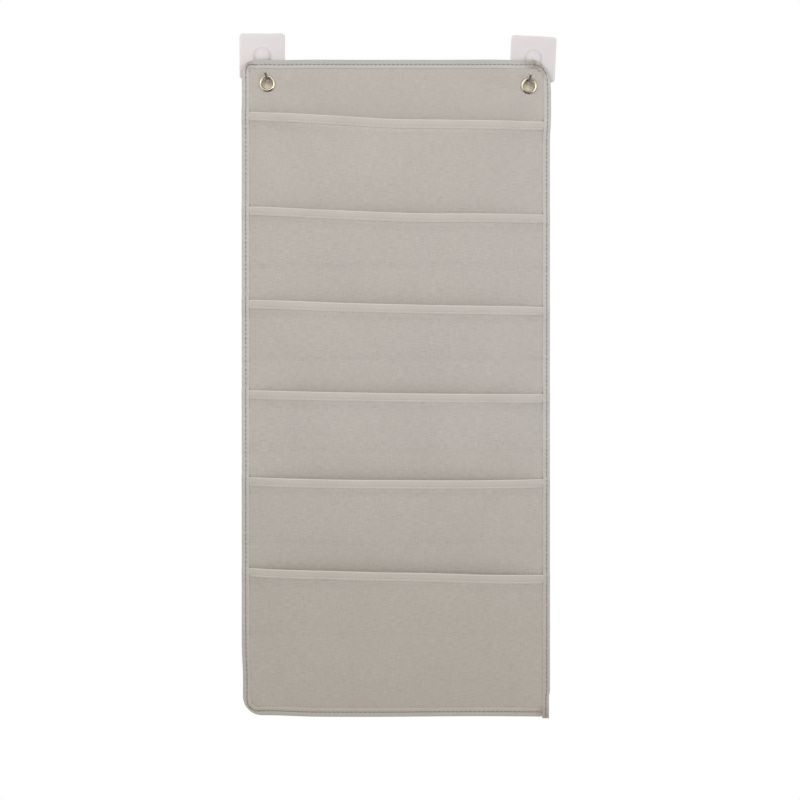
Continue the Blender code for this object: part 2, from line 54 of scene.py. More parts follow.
WALL_BODY = "wall_hooks"
MERGE_DISTANCE = 0.00001
FACING_STEP = 0.0004
LOFT_SHARP_DEG = 50.0
TURNED_SHARP_DEG = 40.0
DISC_STEPS = 96
CLOTH_IOR = 1.4
CLOTH_SPECULAR = 0.25

log = logging.getLogger("organizer")

Number = "float | Term"
Pair = tuple[float, float]
Point = tuple[float, float, float]
Colour = Point
Piece = bpy.types.Object


# arithmetic on numbers and sockets


def operator(operation: str, swapped: bool = False) -> Callable[["Term", "Number"], "Term"]:
    """Make the method behind one arithmetic sign.

    Args:
        operation: The Math node's operation.
        swapped: True where the term stands on the right of the sign.

    Returns:
        The method.
    """
    def method(term: "Term", other: "Number") -> "Term":
        """Add one Math node."""
        first, second = (other, term) if swapped else (term, other)
        return term.graph.math(operation, first, second)

    return method


class Term:
    """A node socket that Python arithmetic can be written on."""

    __add__, __radd__ = operator("ADD"), operator("ADD", swapped=True)
    __sub__, __rsub__ = operator("SUBTRACT"), operator("SUBTRACT", swapped=True)
    __mul__, __rmul__ = operator("MULTIPLY"), operator("MULTIPLY", swapped=True)
    __truediv__, __rtruediv__ = operator("DIVIDE"), operator("DIVIDE", swapped=True)

    def __init__(self, graph: "Graph", socket: bpy.types.NodeSocket) -> None:
        """Keep the socket and the graph that it belongs to."""
        self.graph = graph
        self.socket = socket

    def __neg__(self) -> "Term":
        """Change the sign."""
        return self * -1.0


class Graph:
    """A shader or geometry node tree that terms are written in."""

    def __init__(self, tree: bpy.types.NodeTree) -> None:
        """Start on an existing tree."""
        self.tree = tree

    def node(self, kind: str, settings: dict | None = None, inputs: dict | None = None) -> bpy.types.Node:
        """Add one node.

        Args:
            kind: The node's type name.
            settings: Attributes set before the sockets.
            inputs: Values, terms or sockets by socket name or index.

        Returns:
            The node.
        """
        node = self.tree.nodes.new(kind)
        for name, value in (settings or {}).items():
            setattr(node, name, value)
        for name, value in (inputs or {}).items():
            self.put(node.inputs[name], value)
        return node

    def put(self, socket: bpy.types.NodeSocket, value: object) -> None:
        """Link a term or socket to an input, or write a plain value into it."""
        if isinstance(value, Term):
            value = value.socket
        if isinstance(value, bpy.types.NodeSocket):
            self.tree.links.new(value, socket)
        elif socket.type == "RGBA" and len(value) == 3:
            socket.default_value = (*value, 1.0)
        else:
            socket.default_value = value

    def out(self, node: bpy.types.Node, name: str | int = 0) -> Term:
        """Take one of a node's outputs as a term."""
        return Term(self, node.outputs[name])

    def math(self, operation: str, *values: Number) -> Term:
        """Add one Math node on up to three values."""
        return self.out(self.node("ShaderNodeMath", {"operation": operation}, dict(enumerate(values))))

    def vector(self, x: Number, y: Number, z: Number = 0.0) -> Term:
        """Join three numbers into a vector."""
        return self.out(self.node("ShaderNodeCombineXYZ", inputs={"X": x, "Y": y, "Z": z}))

    def split(self, vector: Term) -> tuple[Term, Term, Term]:
        """Take a vector apart."""
        node = self.node("ShaderNodeSeparateXYZ", inputs={"Vector": vector})
        return self.out(node, "X"), self.out(node, "Y"), self.out(node, "Z")

    def mix(self, share: Number, first: object, second: object) -> Term:
        """Blend two colours, from the first at 0 to the second at 1."""
        node = self.node("ShaderNodeMix", {"data_type": "RGBA"}, {0: share, 6: first, 7: second})
        return self.out(node, 2)


def work(operation: str, plain: Callable[..., float], *values: Number) -> Number:
    """Work an operation out on numbers, or add its node where a value is a term.

    Args:
        operation: The Math node's operation.
        plain: The same operation on numbers.
        values: What it works on.

    Returns:
        A number, or a term if any value is one.
    """
    for value in values:
        if isinstance(value, Term):
            return value.graph.math(operation, *values)
    return plain(*values)


def sine(angle: Number) -> Number:
    """Sine of an angle in radians."""
    return work("SINE", sin, angle)


def bearing(rise: Number, run: Number) -> Number:
    """Angle of a direction from its two parts."""
    return work("ARCTAN2", atan2, rise, run)


def magnitude(value: Number) -> Number:
    """Size of a number without its sign."""
    return work("ABSOLUTE", abs, value)


def least(first: Number, second: Number) -> Number:
    """The lesser of two."""
    return work("MINIMUM", min, first, second)


def most(first: Number, second: Number) -> Number:
    """The greater of two."""
    return work("MAXIMUM", max, first, second)


def root(value: Number) -> Number:
    """Square root."""
    return work("SQRT", sqrt, value)


def power(value: Number, exponent: float) -> Number:
    """A number of 0 or more raised to a power."""
    return work("POWER", pow, value, exponent)


def ramp(value: Number, low: Number, high: Number) -> Number:
    """Rise from 0 at low to 1 at high, and stay level outside."""
    return least(most((value - low) / (high - low), 0.0), 1.0)


def ease(share: Number) -> Number:
    """Turn an even rise from 0 to 1 into a soft one."""
    return share * share * (3.0 - 2.0 * share)


def even_places(start: float, end: float, count: int) -> list[float]:
    """Places from start to end, both included, in count equal steps."""
    return [start + (end - start) * index / count for index in range(count + 1)]


# the rule that the cloth follows


class Side(Enum):
    """The two sides of the organizer, seen from the front."""

    LEFT = -1
    RIGHT = 1

    @property
    def label(self) -> str:
        """The side's word in the names of nodes and pieces."""
        return self.name.lower()

    @property
    def index(self) -> int:
        """The side's place in pairs that run from left to right."""
        return 0 if self is Side.LEFT else 1


@dataclass(frozen=True)
class PocketPlan:
    """What sets one pocket front apart: heights on the cut cloth, and how its mouth hangs.

    Every field may be a term, so that the geometry nodes work with the same rule.
    """

    bottom: Number
    crease: Number
    mouth: Number
    climb: Number
    climb_rise: Number
    left_hang: Number
    middle_hang: Number
    right_hang: Number
    phase: Number

    def mouth_at(self, across: Number) -> Number:
        """Height of the mouth's edge, from -1 at the left seam to 1 at the right one."""
        slope = (self.right_hang - self.left_hang) * 0.5
        curve = (self.left_hang + self.right_hang) * 0.5 - self.middle_hang
        return self.mouth + self.middle_hang + across * slope + across * across * curve


@dataclass(frozen=True)
class Slack:
    """How the hanging cloth's outline departs from the cut one.

    Each band is a pair of shares of the way down, or to the right for `corner_band`, between which
    a departure sets in or, for `hump_end`, dies out.
    """

    low_band: Pair = (0.84, 0.94)
    hump_band: Pair = (0.015, 0.05)
    hump_end: Pair = (0.075, 0.125)
    corner_band: Pair = (0.08, 0.24)
    tuck_band: Pair = (0.890, 0.945)
    tail_band: Pair = (0.960, 0.970)
    tail_power: float = 8.0
    right_out: float = 0.0007
    tuck_in: float = 0.0013
    hump_out: float = 0.0014
    tail_in: float = 0.0011
    bottom_up: float = 0.0018
    low_up: float = 0.0006
    corner_up: float = 0.0014


@dataclass(frozen=True)
class HangingCloth:
    """Sizes of the cut cloth, and the rule by which its layers hang in front of the wall."""

    width: float = 0.350
    height: float = 0.750
    panel_thickness: float = 0.0008
    mesh_thickness: float = 0.0004
    hang_forward: float = 0.0106
    top: float = -0.00425
    top_left_radius: float = 0.016
    top_right_radius: float = 0.023
    bottom_left_radius: float = 0.022
    fold_depth: float = 0.0016
    fold_count_shares: Pair = (1.15, 1.45)
    fold_depth_shares: Pair = (0.6, 0.4)
    fold_phases_deg: Pair = (50.0, -35.0)
    fold_drift_deg: float = 130.0
    tape_width: float = 0.009
    tape_thickness: float = 0.0006
    tape_gap: float = 0.0001
    gap: float = 0.0003
    pocket_count: int = 6
    pocket_depth: float = 0.163
    top_band: float = 0.068
    mouth_bulge: float = 0.018
    rise_power: float = 0.75
    crown_power: float = 4.0
    seam_strip: float = 0.003
    hem_width: float = 0.010
    hem_thickness: float = 0.0004
    layer_ramp: float = 0.008
    layer_margin: float = 0.002
    pucker_depth: float = 0.00030
    pucker_length: float = 0.0105
    pucker_reach: float = 0.034
    pucker_wander: float = 1.9
    pucker_wander_length: float = 0.047
    pucker_slant: float = 9.0
    drag_depth: float = 0.0008
    drag_start: float = 0.013
    drag_full: float = 0.033
    drag_end: float = 0.110
    drag_folds: float = 5.0
    drag_phase: float = 0.9
    ripple_depth: float = 0.0011
    ripple_turns: float = 2.6
    ripple_climb: float = 2.2
    ripple_first_phase: float = 0.6
    ripple_phase_step: float = 1.7
    tape_stiff_reach: float = 0.0018
    tape_clear_reach: float = 0.0022
    tape_samples: int = 6
    # share of the height over which the colour turns darker and warmer towards the bottom
    worn_share: float = 0.45
    slack: Slack = Slack()
    eyelets: tuple[Pair, ...] = ((-0.1460, -0.0316), (0.1520, -0.0340))
    mouth_hangs_mm: tuple[Point, ...] = (
        (7.5, 5.4, -0.4), (7.1, 5.1, 4.9), (2.3, -1.2, -2.2),
        (1.4, -5.3, -6.6), (3.9, -6.2, -5.2), (8.0, -4.7, -3.3))

    @property
    def half_width(self) -> float:
        """Half the width over the tape."""
        return self.width / 2

    @property
    def bottom(self) -> float:
        """Height of the cut cloth's lower edge."""
        return self.top - self.height

    @property
    def edge_inset(self) -> float:
        """How far the cloth's own edge lies inside the tape's outer edge."""
        return self.tape_thickness + self.gap

    @property
    def pitch(self) -> float:
        """Distance from one mouth to the next."""
        return (self.height - self.top_band - self.pocket_depth) / (self.pocket_count - 1)

    @property
    def first_layer(self) -> float:
        """Middle of the first pocket layer, forward of the panel's middle."""
        return self.panel_thickness / 2 + self.gap + self.mesh_thickness / 2

    @property
    def hem_half_gap(self) -> float:
        """Inner face of a hem wall, from the middle of the pocket's cloth."""
        return self.mesh_thickness / 2 + self.gap

    @property
    def hem_half_depth(self) -> float:
        """Outer face of a hem wall, from the middle of the pocket's cloth."""
        return self.hem_half_gap + self.hem_thickness

    def corner_radii(self, side: Side) -> Pair:
        """Top and bottom corner radius on one side."""
        if side is Side.LEFT:
            return self.top_left_radius, self.bottom_left_radius
        return self.top_right_radius, 0.0

    def edge_x(self, side: Side, z: Number, inset: float) -> Number:
        """Where the outline, drawn in by an inset, runs on one side.

        Args:
            side: The side of the cloth.
            z: Height on the cut cloth.
            inset: How far inside the outer edge.

        Returns:
            The place across.
        """
        reach = self.half_width - inset
        top_radius, bottom_radius = (max(radius - inset, 0.0) for radius in self.corner_radii(side))
        runs = ((top_radius, z - (self.top - inset - top_radius)),
                (bottom_radius, (self.bottom + inset + bottom_radius) - z))
        for radius, over in runs:
            if radius > 0.0:
                over = least(most(over, 0.0), radius)
                reach = reach - radius + root(most(radius * radius - over * over, 0.0))
        return side.value * reach

    def panel_forward(self, x: Number, z: Number) -> Number:
        """How far forward of the wall the panel's middle surface hangs at a place on the cut cloth."""
        down = (self.top - z) / self.height
        wave: Number = 0.0
        for turns, share, phase in zip(self.fold_count_shares, self.fold_depth_shares,
                                       self.fold_phases_deg):
            angle = x * (2 * pi * turns / self.width) + down * radians(self.fold_drift_deg)
            wave = wave + share * sine(angle + radians(phase))
        return self.hang_forward + self.fold_depth * down * wave + self._pucker(x, z) + self._drag(x, z)

    def _pucker(self, x: Number, z: Number) -> Number:
        """The small ripples that the side seams pull into every layer."""
        near = ramp(magnitude(x), self.half_width - self.pucker_reach, self.half_width)
        wander = sine(z * (2 * pi / self.pucker_wander_length) + x * self.pucker_slant)
        wander = wander * self.pucker_wander
        wave = sine(z * (2 * pi / self.pucker_length) + wander)
        return self.pucker_depth * near * near * wave

    def _drag(self, x: Number, z: Number) -> Number:
        """The shallow folds that run out from the eyelets, which themselves sit flat."""
        total: Number = 0.0
        for number, (eyelet_x, eyelet_z) in enumerate(self.eyelets):
            run = x - eyelet_x
            rise = z - eyelet_z
            away = root(run * run + rise * rise)
            mask = ease(ramp(away, self.drag_start, self.drag_full))
            mask = mask * (1.0 - ease(ramp(away, self.drag_full, self.drag_end)))
            angle = bearing(rise, run) * self.drag_folds + self.drag_phase * number
            total = total + mask * sine(angle)
        return self.drag_depth * total

    def pocket_forward(self, plan: PocketPlan, x: Number, z: Number) -> Number:
        """How far forward of the wall the middle of a pocket's cloth hangs."""
        across = self.across(x, z)
        mouth = plan.mouth_at(across)
        crown = most(1.0 - power(magnitude(across), self.crown_power), 0.0)
        risen = most((z - plan.crease) / (mouth - plan.crease), 0.0)
        bulge = self.mouth_bulge * crown * power(risen, self.rise_power)
        angle = across * (pi * self.ripple_turns) + plan.phase + risen * self.ripple_climb
        ripple = self.ripple_depth * crown * risen * sine(angle)
        return self.panel_forward(x, z) + self.layer(plan, z, mouth) + bulge + ripple

    def across(self, x: Number, z: Number) -> Number:
        """Share across between the tape's inner edges, from -1 to 1."""
        left = self.edge_x(Side.LEFT, z, self.tape_width)
        right = self.edge_x(Side.RIGHT, z, self.tape_width)
        return (2.0 * x - left - right) / (right - left)

    def layer(self, plan: PocketPlan, z: Number, mouth: Number) -> Number:
        """Forward of the panel at the side seams: over the pocket above, then over the hem's back."""
        hem = mouth - (self.hem_width + self.layer_margin)
        climb = ramp(z, plan.climb - self.layer_ramp, plan.climb)
        under_hem = ramp(z, hem - self.layer_ramp, hem)
        rise = self.gap + self.hem_thickness
        return self.first_layer + plan.climb_rise * ease(climb) + rise * ease(under_hem)

    def drift(self, x: Number, z: Number) -> tuple[Number, Number]:
        """Where a place on the cut cloth hangs, seen from the front.

        Args:
            x: Place across on the cut cloth.
            z: Height on the cut cloth.

        Returns:
            Place across and height of the hanging cloth.
        """
        down = (self.top - z) / self.height
        right = 0.5 + x / self.width
        slack = self.slack
        low = ease(ramp(down, *slack.low_band))
        hump = ramp(down, *slack.hump_band) * (1.0 - ease(ramp(down, *slack.hump_end)))
        corner = low * (1.0 - ease(ramp(right, *slack.corner_band)))
        tucked = ease(ramp(down, *slack.tuck_band)) * (1.0 - right)
        end = ease(ramp(down, *slack.tail_band)) * power(right, slack.tail_power)
        moved = (slack.right_out * right + slack.tuck_in * tucked + slack.hump_out * hump * right
                 - slack.tail_in * end)
        return x + moved, z + slack.bottom_up * down + slack.low_up * low + slack.corner_up * corner

    def place(self, x: float, z: float, forward: float) -> Point:
        """Point of the hanging cloth for a place on the cut cloth and a distance from the wall."""
        hung_x, hung_z = self.drift(x, z)
        return hung_x, -forward, hung_z

    def plan(self, index: int) -> PocketPlan:
        """The plan of one pocket, where index 0 is the lowest."""
        bottom = self.bottom + index * self.pitch
        above = index + 1 < self.pocket_count
        hangs = [value / 1000 for value in self.mouth_hangs_mm[index]]
        first = index == 0
        return PocketPlan(
            bottom=bottom + (self.edge_inset if first else 0.0),
            crease=bottom + (self.tape_width if first else self.seam_strip),
            mouth=bottom + self.pocket_depth,
            climb=bottom + self.pitch - self.layer_margin,
            climb_rise=self.mesh_thickness + self.gap if above else 0.0,
            left_hang=hangs[0], middle_hang=hangs[1], right_hang=hangs[2],
            phase=self.ripple_first_phase + self.ripple_phase_step * index)

    def plans(self) -> list[PocketPlan]:
        """The plans of all pockets, from the lowest up."""
        return [self.plan(index) for index in range(self.pocket_count)]

    def cover(self, plan: PocketPlan, side: Side, z: float) -> float:
        """How far forward of the panel a pocket or its hem reaches at one side seam."""
        mouth = plan.mouth_at(float(side.value))
        if not plan.bottom <= z <= mouth:
            return self.panel_thickness / 2
        thickness = self.mesh_thickness / 2
        if z >= mouth - self.hem_width:
            thickness = self.hem_half_depth
        return self.layer(plan, z, mouth) + thickness

    def tape_level(self, side: Side, z: float) -> float:
        """Inner face of the tape's front wall, forward of the panel, clear of all that it covers."""
        middle = max(z, self.bottom + self.edge_inset)
        clear = self.tape_clear_reach
        levels = []
        for shift in even_places(-self.tape_stiff_reach, self.tape_stiff_reach, self.tape_samples):
            nearby = even_places(middle + shift - clear, middle + shift + clear, self.tape_samples)
            levels.append(max(self.cover(plan, side, place) for plan in self.plans()
                              for place in nearby))
        return self.tape_gap + sum(levels) / len(levels)


CLOTH = HangingCloth()


# meshes


@dataclass
class Shape:
    """A mesh in the making: points, faces and each face corner's place on the cloth in metres."""

    points: list[Point] = field(default_factory=list)
    faces: list[tuple[int, ...]] = field(default_factory=list)
    places: list[Pair] = field(default_factory=list)

    def loft(self, rings: Sequence[Sequence[Point]], along: Sequence[float],
             around: Sequence[float]) -> None:
        """Skin closed rings in order and close both ends.

        Args:
            rings: Rings of points, all of the same count.
            along: Each ring's distance along the strip.
            around: Each point's distance round the ring, with one more for the closing edge.
        """
        base = len(self.points)
        count = len(rings[0])
        for ring in rings:
            self.points.extend(ring)
        for row in range(len(rings) - 1):
            for index in range(count):
                following = (index + 1) % count
                first = base + row * count
                second = first + count
                self.faces.append((first + index, first + following, second + following,
                                   second + index))
                self.places += [(along[row], around[index]), (along[row], around[index + 1]),
                                (along[row + 1], around[index + 1]), (along[row + 1], around[index])]
        last = base + (len(rings) - 1) * count
        self.faces.append(tuple(base + index for index in reversed(range(count))))
        self.faces.append(tuple(last + index for index in range(count)))
        self.places += [(along[0], around[index]) for index in reversed(range(count))]
        self.places += [(along[-1], around[index]) for index in range(count)]

    def to_object(self, name: str) -> Piece:
        """Make a linked object whose faces point outwards."""
        data = bpy.data.meshes.new(name)
        data.from_pydata(self.points, [], self.faces)
        layer = data.uv_layers.new(name=CLOTH_MAP)
        layer.data.foreach_set("uv", [value for place in self.places for value in place])
        if signed_volume(data) < 0.0:
            data.flip_normals()
        smooth(data, LOFT_SHARP_DEG)
        return link(name, data)


def lengths_round(section: Sequence[Pair]) -> list[float]:
    """Distance round a closed section to each of its points, and at last back to the first."""
    lengths = [0.0]
    for first, second in zip(section, [*section[1:], section[0]]):
        lengths.append(lengths[-1] + hypot(second[0] - first[0], second[1] - first[1]))
    return lengths


def smooth(data: bpy.types.Mesh, sharp_deg: float) -> None:
    """Shade a mesh smooth, with edges bent more than the angle kept sharp."""
    data.shade_smooth()
    data.set_sharp_from_angle(angle=radians(sharp_deg))


def signed_volume(data: bpy.types.Mesh) -> float:
    """Volume inside a closed mesh, below 0 where its faces point inwards."""
    data.calc_loop_triangles()
    total = 0.0
    for triangle in data.loop_triangles:
        first, second, third = (data.vertices[index].co for index in triangle.vertices)
        total += first.dot(second.cross(third))
    return total / 6.0


def link(name: str, data: bpy.types.ID) -> Piece:
    """Put data into the scene as an object."""
    item = bpy.data.objects.new(name, data)
    bpy.context.scene.collection.objects.link(item)
    return item


def settle(item: Piece, sharp_deg: float | None = None) -> Piece:
    """Turn an object into a plain mesh that sits at the origin with its place in its points.

    Args:
        item: A mesh or curve object, with any modifiers.
        sharp_deg: If given, the mesh is shaded smooth with edges bent more than this kept sharp.

    Returns:
        The new object, under the old one's name.
    """
    bpy.context.view_layer.update()
    graph = bpy.context.evaluated_depsgraph_get()
    data = bpy.data.meshes.new_from_object(item.evaluated_get(graph), depsgraph=graph)
    data.transform(item.matrix_world)
    name = item.name
    bpy.data.objects.remove(item)
    data.name = name
    if sharp_deg is not None:
        smooth(data, sharp_deg)
    return link(name, data)


def baked(name: str, shape: bmesh.types.BMesh) -> Piece:
    """Turn an edited mesh into a linked object, its faces made to point one way."""
    bmesh.ops.recalc_face_normals(shape, faces=shape.faces)
    data = bpy.data.meshes.new(name)
    shape.to_mesh(data)
    shape.free()
    return link(name, data)


def turned(name: str, profile: Sequence[Pair], steps: int,
           closed: bool = True) -> Piece:
    """Turn a profile of (radius, forward) points about the wall's normal.

    Args:
        name: The object's name.
        profile: Points of the section.
        steps: Facets round the full turn.
        closed: True where the last point joins the first.

    Returns:
        The object.
    """
    shape = bmesh.new()
    points = [shape.verts.new((radius, -forward, 0.0)) for radius, forward in profile]
    pairs = list(zip(points, points[1:]))
    if closed:
        pairs.append((points[-1], points[0]))
    edges = [shape.edges.new(pair) for pair in pairs]
    bmesh.ops.spin(shape, geom=points + edges, axis=(0.0, 1.0, 0.0), cent=(0.0, 0.0, 0.0),
                   steps=steps, angle=2 * pi)
    bmesh.ops.remove_doubles(shape, verts=shape.verts, dist=MERGE_DISTANCE)
    item = baked(name, shape)
    smooth(item.data, TURNED_SHARP_DEG)
    return item


def ellipse_arc(centre: Pair, across: float, out: float, start_deg: float,
                end_deg: float, count: int) -> list[Pair]:
    """Points of part of an ellipse.

    Args:
        centre: Its centre.
        across: Half its size in the first direction.
        out: Half its size in the second direction.
        start_deg: Angle of the first point.
        end_deg: Angle of the last point.
        count: Number of steps.

    Returns:
        The points.
    """
    angles = even_places(radians(start_deg), radians(end_deg), count)
    return [(centre[0] + across * cos(angle), centre[1] + out * sin(angle)) for angle in angles]


def combine(item: Piece, tool: Piece, operation: str) -> None:
    """Join a tool to an object, or cut it out."""
    modifier = item.modifiers.new(tool.name, "BOOLEAN")
    modifier.operation = operation
    modifier.solver = "EXACT"
    modifier.object = tool


def dress(item: Piece, material: bpy.types.Material) -> None:
    """Give a mesh one material on all its faces."""
    item.data.materials.clear()
    item.data.materials.append(material)


def hand_over(item: Piece, body: str, slot: str, *nodes: str) -> Piece:
    """Let a finished piece ride on its body and stand for its nodes.

    Args:
        item: The finished piece.
        body: The body that it moves with.
        slot: Not used.
        nodes: The solids that it replaces.

    Returns:
        The piece.
    """
    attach(item, body)
    if nodes:
        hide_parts(*nodes)
    log.info("%s: %d faces, rides on %s", item.name, len(item.data.polygons), body)
    return item


# finishes


class Surface(Graph):
    """A material's node tree with its Principled shader."""

    def __init__(self, name: str) -> None:
        """Make the material."""
        self.material = bpy.data.materials.new(name)
        self.material.use_nodes = True
        super().__init__(self.material.node_tree)
        self.shader = self.tree.nodes["Principled BSDF"]

    def set(self, **values: object) -> None:
        """Set the shader's sockets, with _ for a space in their names."""
        for name, value in values.items():
            self.put(self.shader.inputs[name.replace("_", " ")], value)

    def cloth_place(self) -> tuple[Term, Term]:
        """Place on the cloth in metres, from the piece's own map."""
        node = self.node("ShaderNodeUVMap", {"uv_map": CLOTH_MAP})
        first, second, _ = self.split(self.out(node, "UV"))
        return first, second

    def object_place(self) -> Term:
        """Place in the object's own frame, in metres."""
        return self.out(self.node("ShaderNodeTexCoord"), "Object")

    def noise(self, vector: Term, scale: float, detail: float = 2.0, roughness: float = 0.5) -> Term:
        """Smooth noise between 0 and 1, mostly near a half."""
        return self.out(self.node("ShaderNodeTexNoise", inputs={
            "Vector": vector, "Scale": scale, "Detail": detail, "Roughness": roughness}), "Fac")

    def product(self, first: Term, second: Term | Point) -> Term:
        """Two vectors or colours, multiplied part by part."""
        return self.out(self.node("ShaderNodeVectorMath", {"operation": "MULTIPLY"},
                                  {0: first, 1: second}))

    def bump(self, height: Term, distance: float) -> Term:
        """Normal of a surface with the given height, where 1 stands for the distance."""
        return self.out(self.node("ShaderNodeBump", inputs={
            "Strength": 1.0, "Distance": distance, "Height": height}), "Normal")

    def shaded(self, colour: Colour, light: Term) -> Term:
        """A colour multiplied by a number near 1."""
        return self.product(self.vector(light, light, light), colour)

    def tinted(self, tone: Term, light: Term) -> Term:
        """A varying colour multiplied by a number near 1."""
        return self.product(tone, self.vector(light, light, light))

    def grained(self, colour: Colour, scale: float, swing: float) -> Term:
        """A colour that noise makes lighter and darker within the swing."""
        grain = self.noise(self.object_place(), scale)
        return self.shaded(colour, 1.0 - swing / 2 + swing * grain)

    def upper_share(self) -> Term:
        """0 at the cloth's lower edge and 1 above the band where its colour darkens."""
        _, _, height = self.split(self.object_place())
        return ramp(height, CLOTH.bottom, CLOTH.bottom + CLOTH.height * CLOTH.worn_share)

    def worn(self, colour: Colour, low_colour: Colour) -> Term:
        """The cloth's colour, which turns warmer and darker towards its lower edge."""
        return self.mix(self.upper_share(), low_colour, colour)


@dataclass(frozen=True)
class Finish:
    """What every finish has: a name, a main colour and a way to shade its surface."""

    name: str
    colour: Colour

    def shade(self, surface: Surface) -> None:
        """Give a surface this finish.

        Args:
            surface: The new material's surface.
        """
        raise NotImplementedError

    def make(self) -> bpy.types.Material:
        """Build the material."""
        surface = Surface(self.name)
        self.shade(surface)
        return surface.material


@dataclass(frozen=True)
class WovenFinish(Finish):
    """Matt woven cloth with threads, slubs and soft clouds of tone.

    A scale is the number of grains to the metre, and a light is how much one thing brightens.
    """

    low_colour: Colour
    thread_pitch: float = 0.0007
    thread_depth: float = 0.00010
    weft_scales: Pair = (110.0, 1300.0)
    warp_scales: Point = (1300.0, 150.0, 3.7)
    warp_share: float = 0.6
    grain_scale: float = 1500.0
    grain_share: float = 0.7
    grain_layer: float = 0.4
    cloud_scale: float = 14.0
    cloud_layer: float = 1.3
    yarn_light: float = 0.30
    cloud_light: float = 0.07
    weave_light: float = 0.03
    roughness: float = 0.86
    yarn_roughness: float = 0.08
    weave_height: float = 0.5
    yarn_height: float = 1.4
    opacity: float = 1.0
    weave_opacity: float = 0.14
    yarn_opacity: float = 0.45
    sheen: float = 0.12
    sheen_roughness: float = 0.55

    def shade(self, surface: Surface) -> None:
        """Weave threads from two stretched noises and a grain."""
        across, up = surface.cloth_place()
        turn = 2 * pi / self.thread_pitch
        weave = sine(across * turn) * sine(up * turn)
        weft_x, weft_y = self.weft_scales
        weft = surface.noise(surface.vector(across * weft_x, up * weft_y), 1.0, roughness=0.6)
        warp_x, warp_y, layer = self.warp_scales
        warp = surface.noise(surface.vector(across * warp_x, up * warp_y, layer), 1.0, roughness=0.6)
        grain = surface.noise(surface.vector(across, up, self.grain_layer), self.grain_scale,
                              roughness=0.7)
        cloud = surface.noise(surface.vector(across, up, self.cloud_layer), self.cloud_scale)
        yarn = (weft - 0.5) + (warp - 0.5) * self.warp_share + (grain - 0.5) * self.grain_share
        light = (1.0 + yarn * self.yarn_light + (cloud - 0.5) * self.cloud_light
                 + weave * self.weave_light)
        surface.set(Base_Color=surface.tinted(surface.worn(self.colour, self.low_colour), light),
                    Roughness=self.roughness + yarn * self.yarn_roughness, Sheen_Weight=self.sheen,
                    Sheen_Roughness=self.sheen_roughness, IOR=CLOTH_IOR,
                    Specular_IOR_Level=CLOTH_SPECULAR,
                    Normal=surface.bump(weave * self.weave_height + yarn * self.yarn_height,
                                        self.thread_depth))
        if self.opacity < 1.0:
            alpha = self.opacity * (1.0 + self.weave_opacity * weave + yarn * self.yarn_opacity)
            surface.set(Alpha=least(most(alpha, 0.0), 1.0))


@dataclass(frozen=True)
class Stain:
    """A handling mark on the tape, blotched by noise."""

    x: float
    z: float
    reach: float
    strength: float
    full_share: float = 0.35
    blotch_scale: float = 210.0
    blotch_band: Pair = (0.34, 0.60)

    def share(self, surface: Surface) -> Term:
        """How much of the mark shows at a place."""
        place_x, _, place_z = surface.split(surface.object_place())
        away = root((place_x - self.x) * (place_x - self.x) + (place_z - self.z) * (place_z - self.z))
        blotch = surface.noise(surface.object_place(), self.blotch_scale, 3.0, 0.6)
        near = 1.0 - ease(ramp(away, self.reach * self.full_share, self.reach))
        return near * ramp(blotch, *self.blotch_band) * self.strength


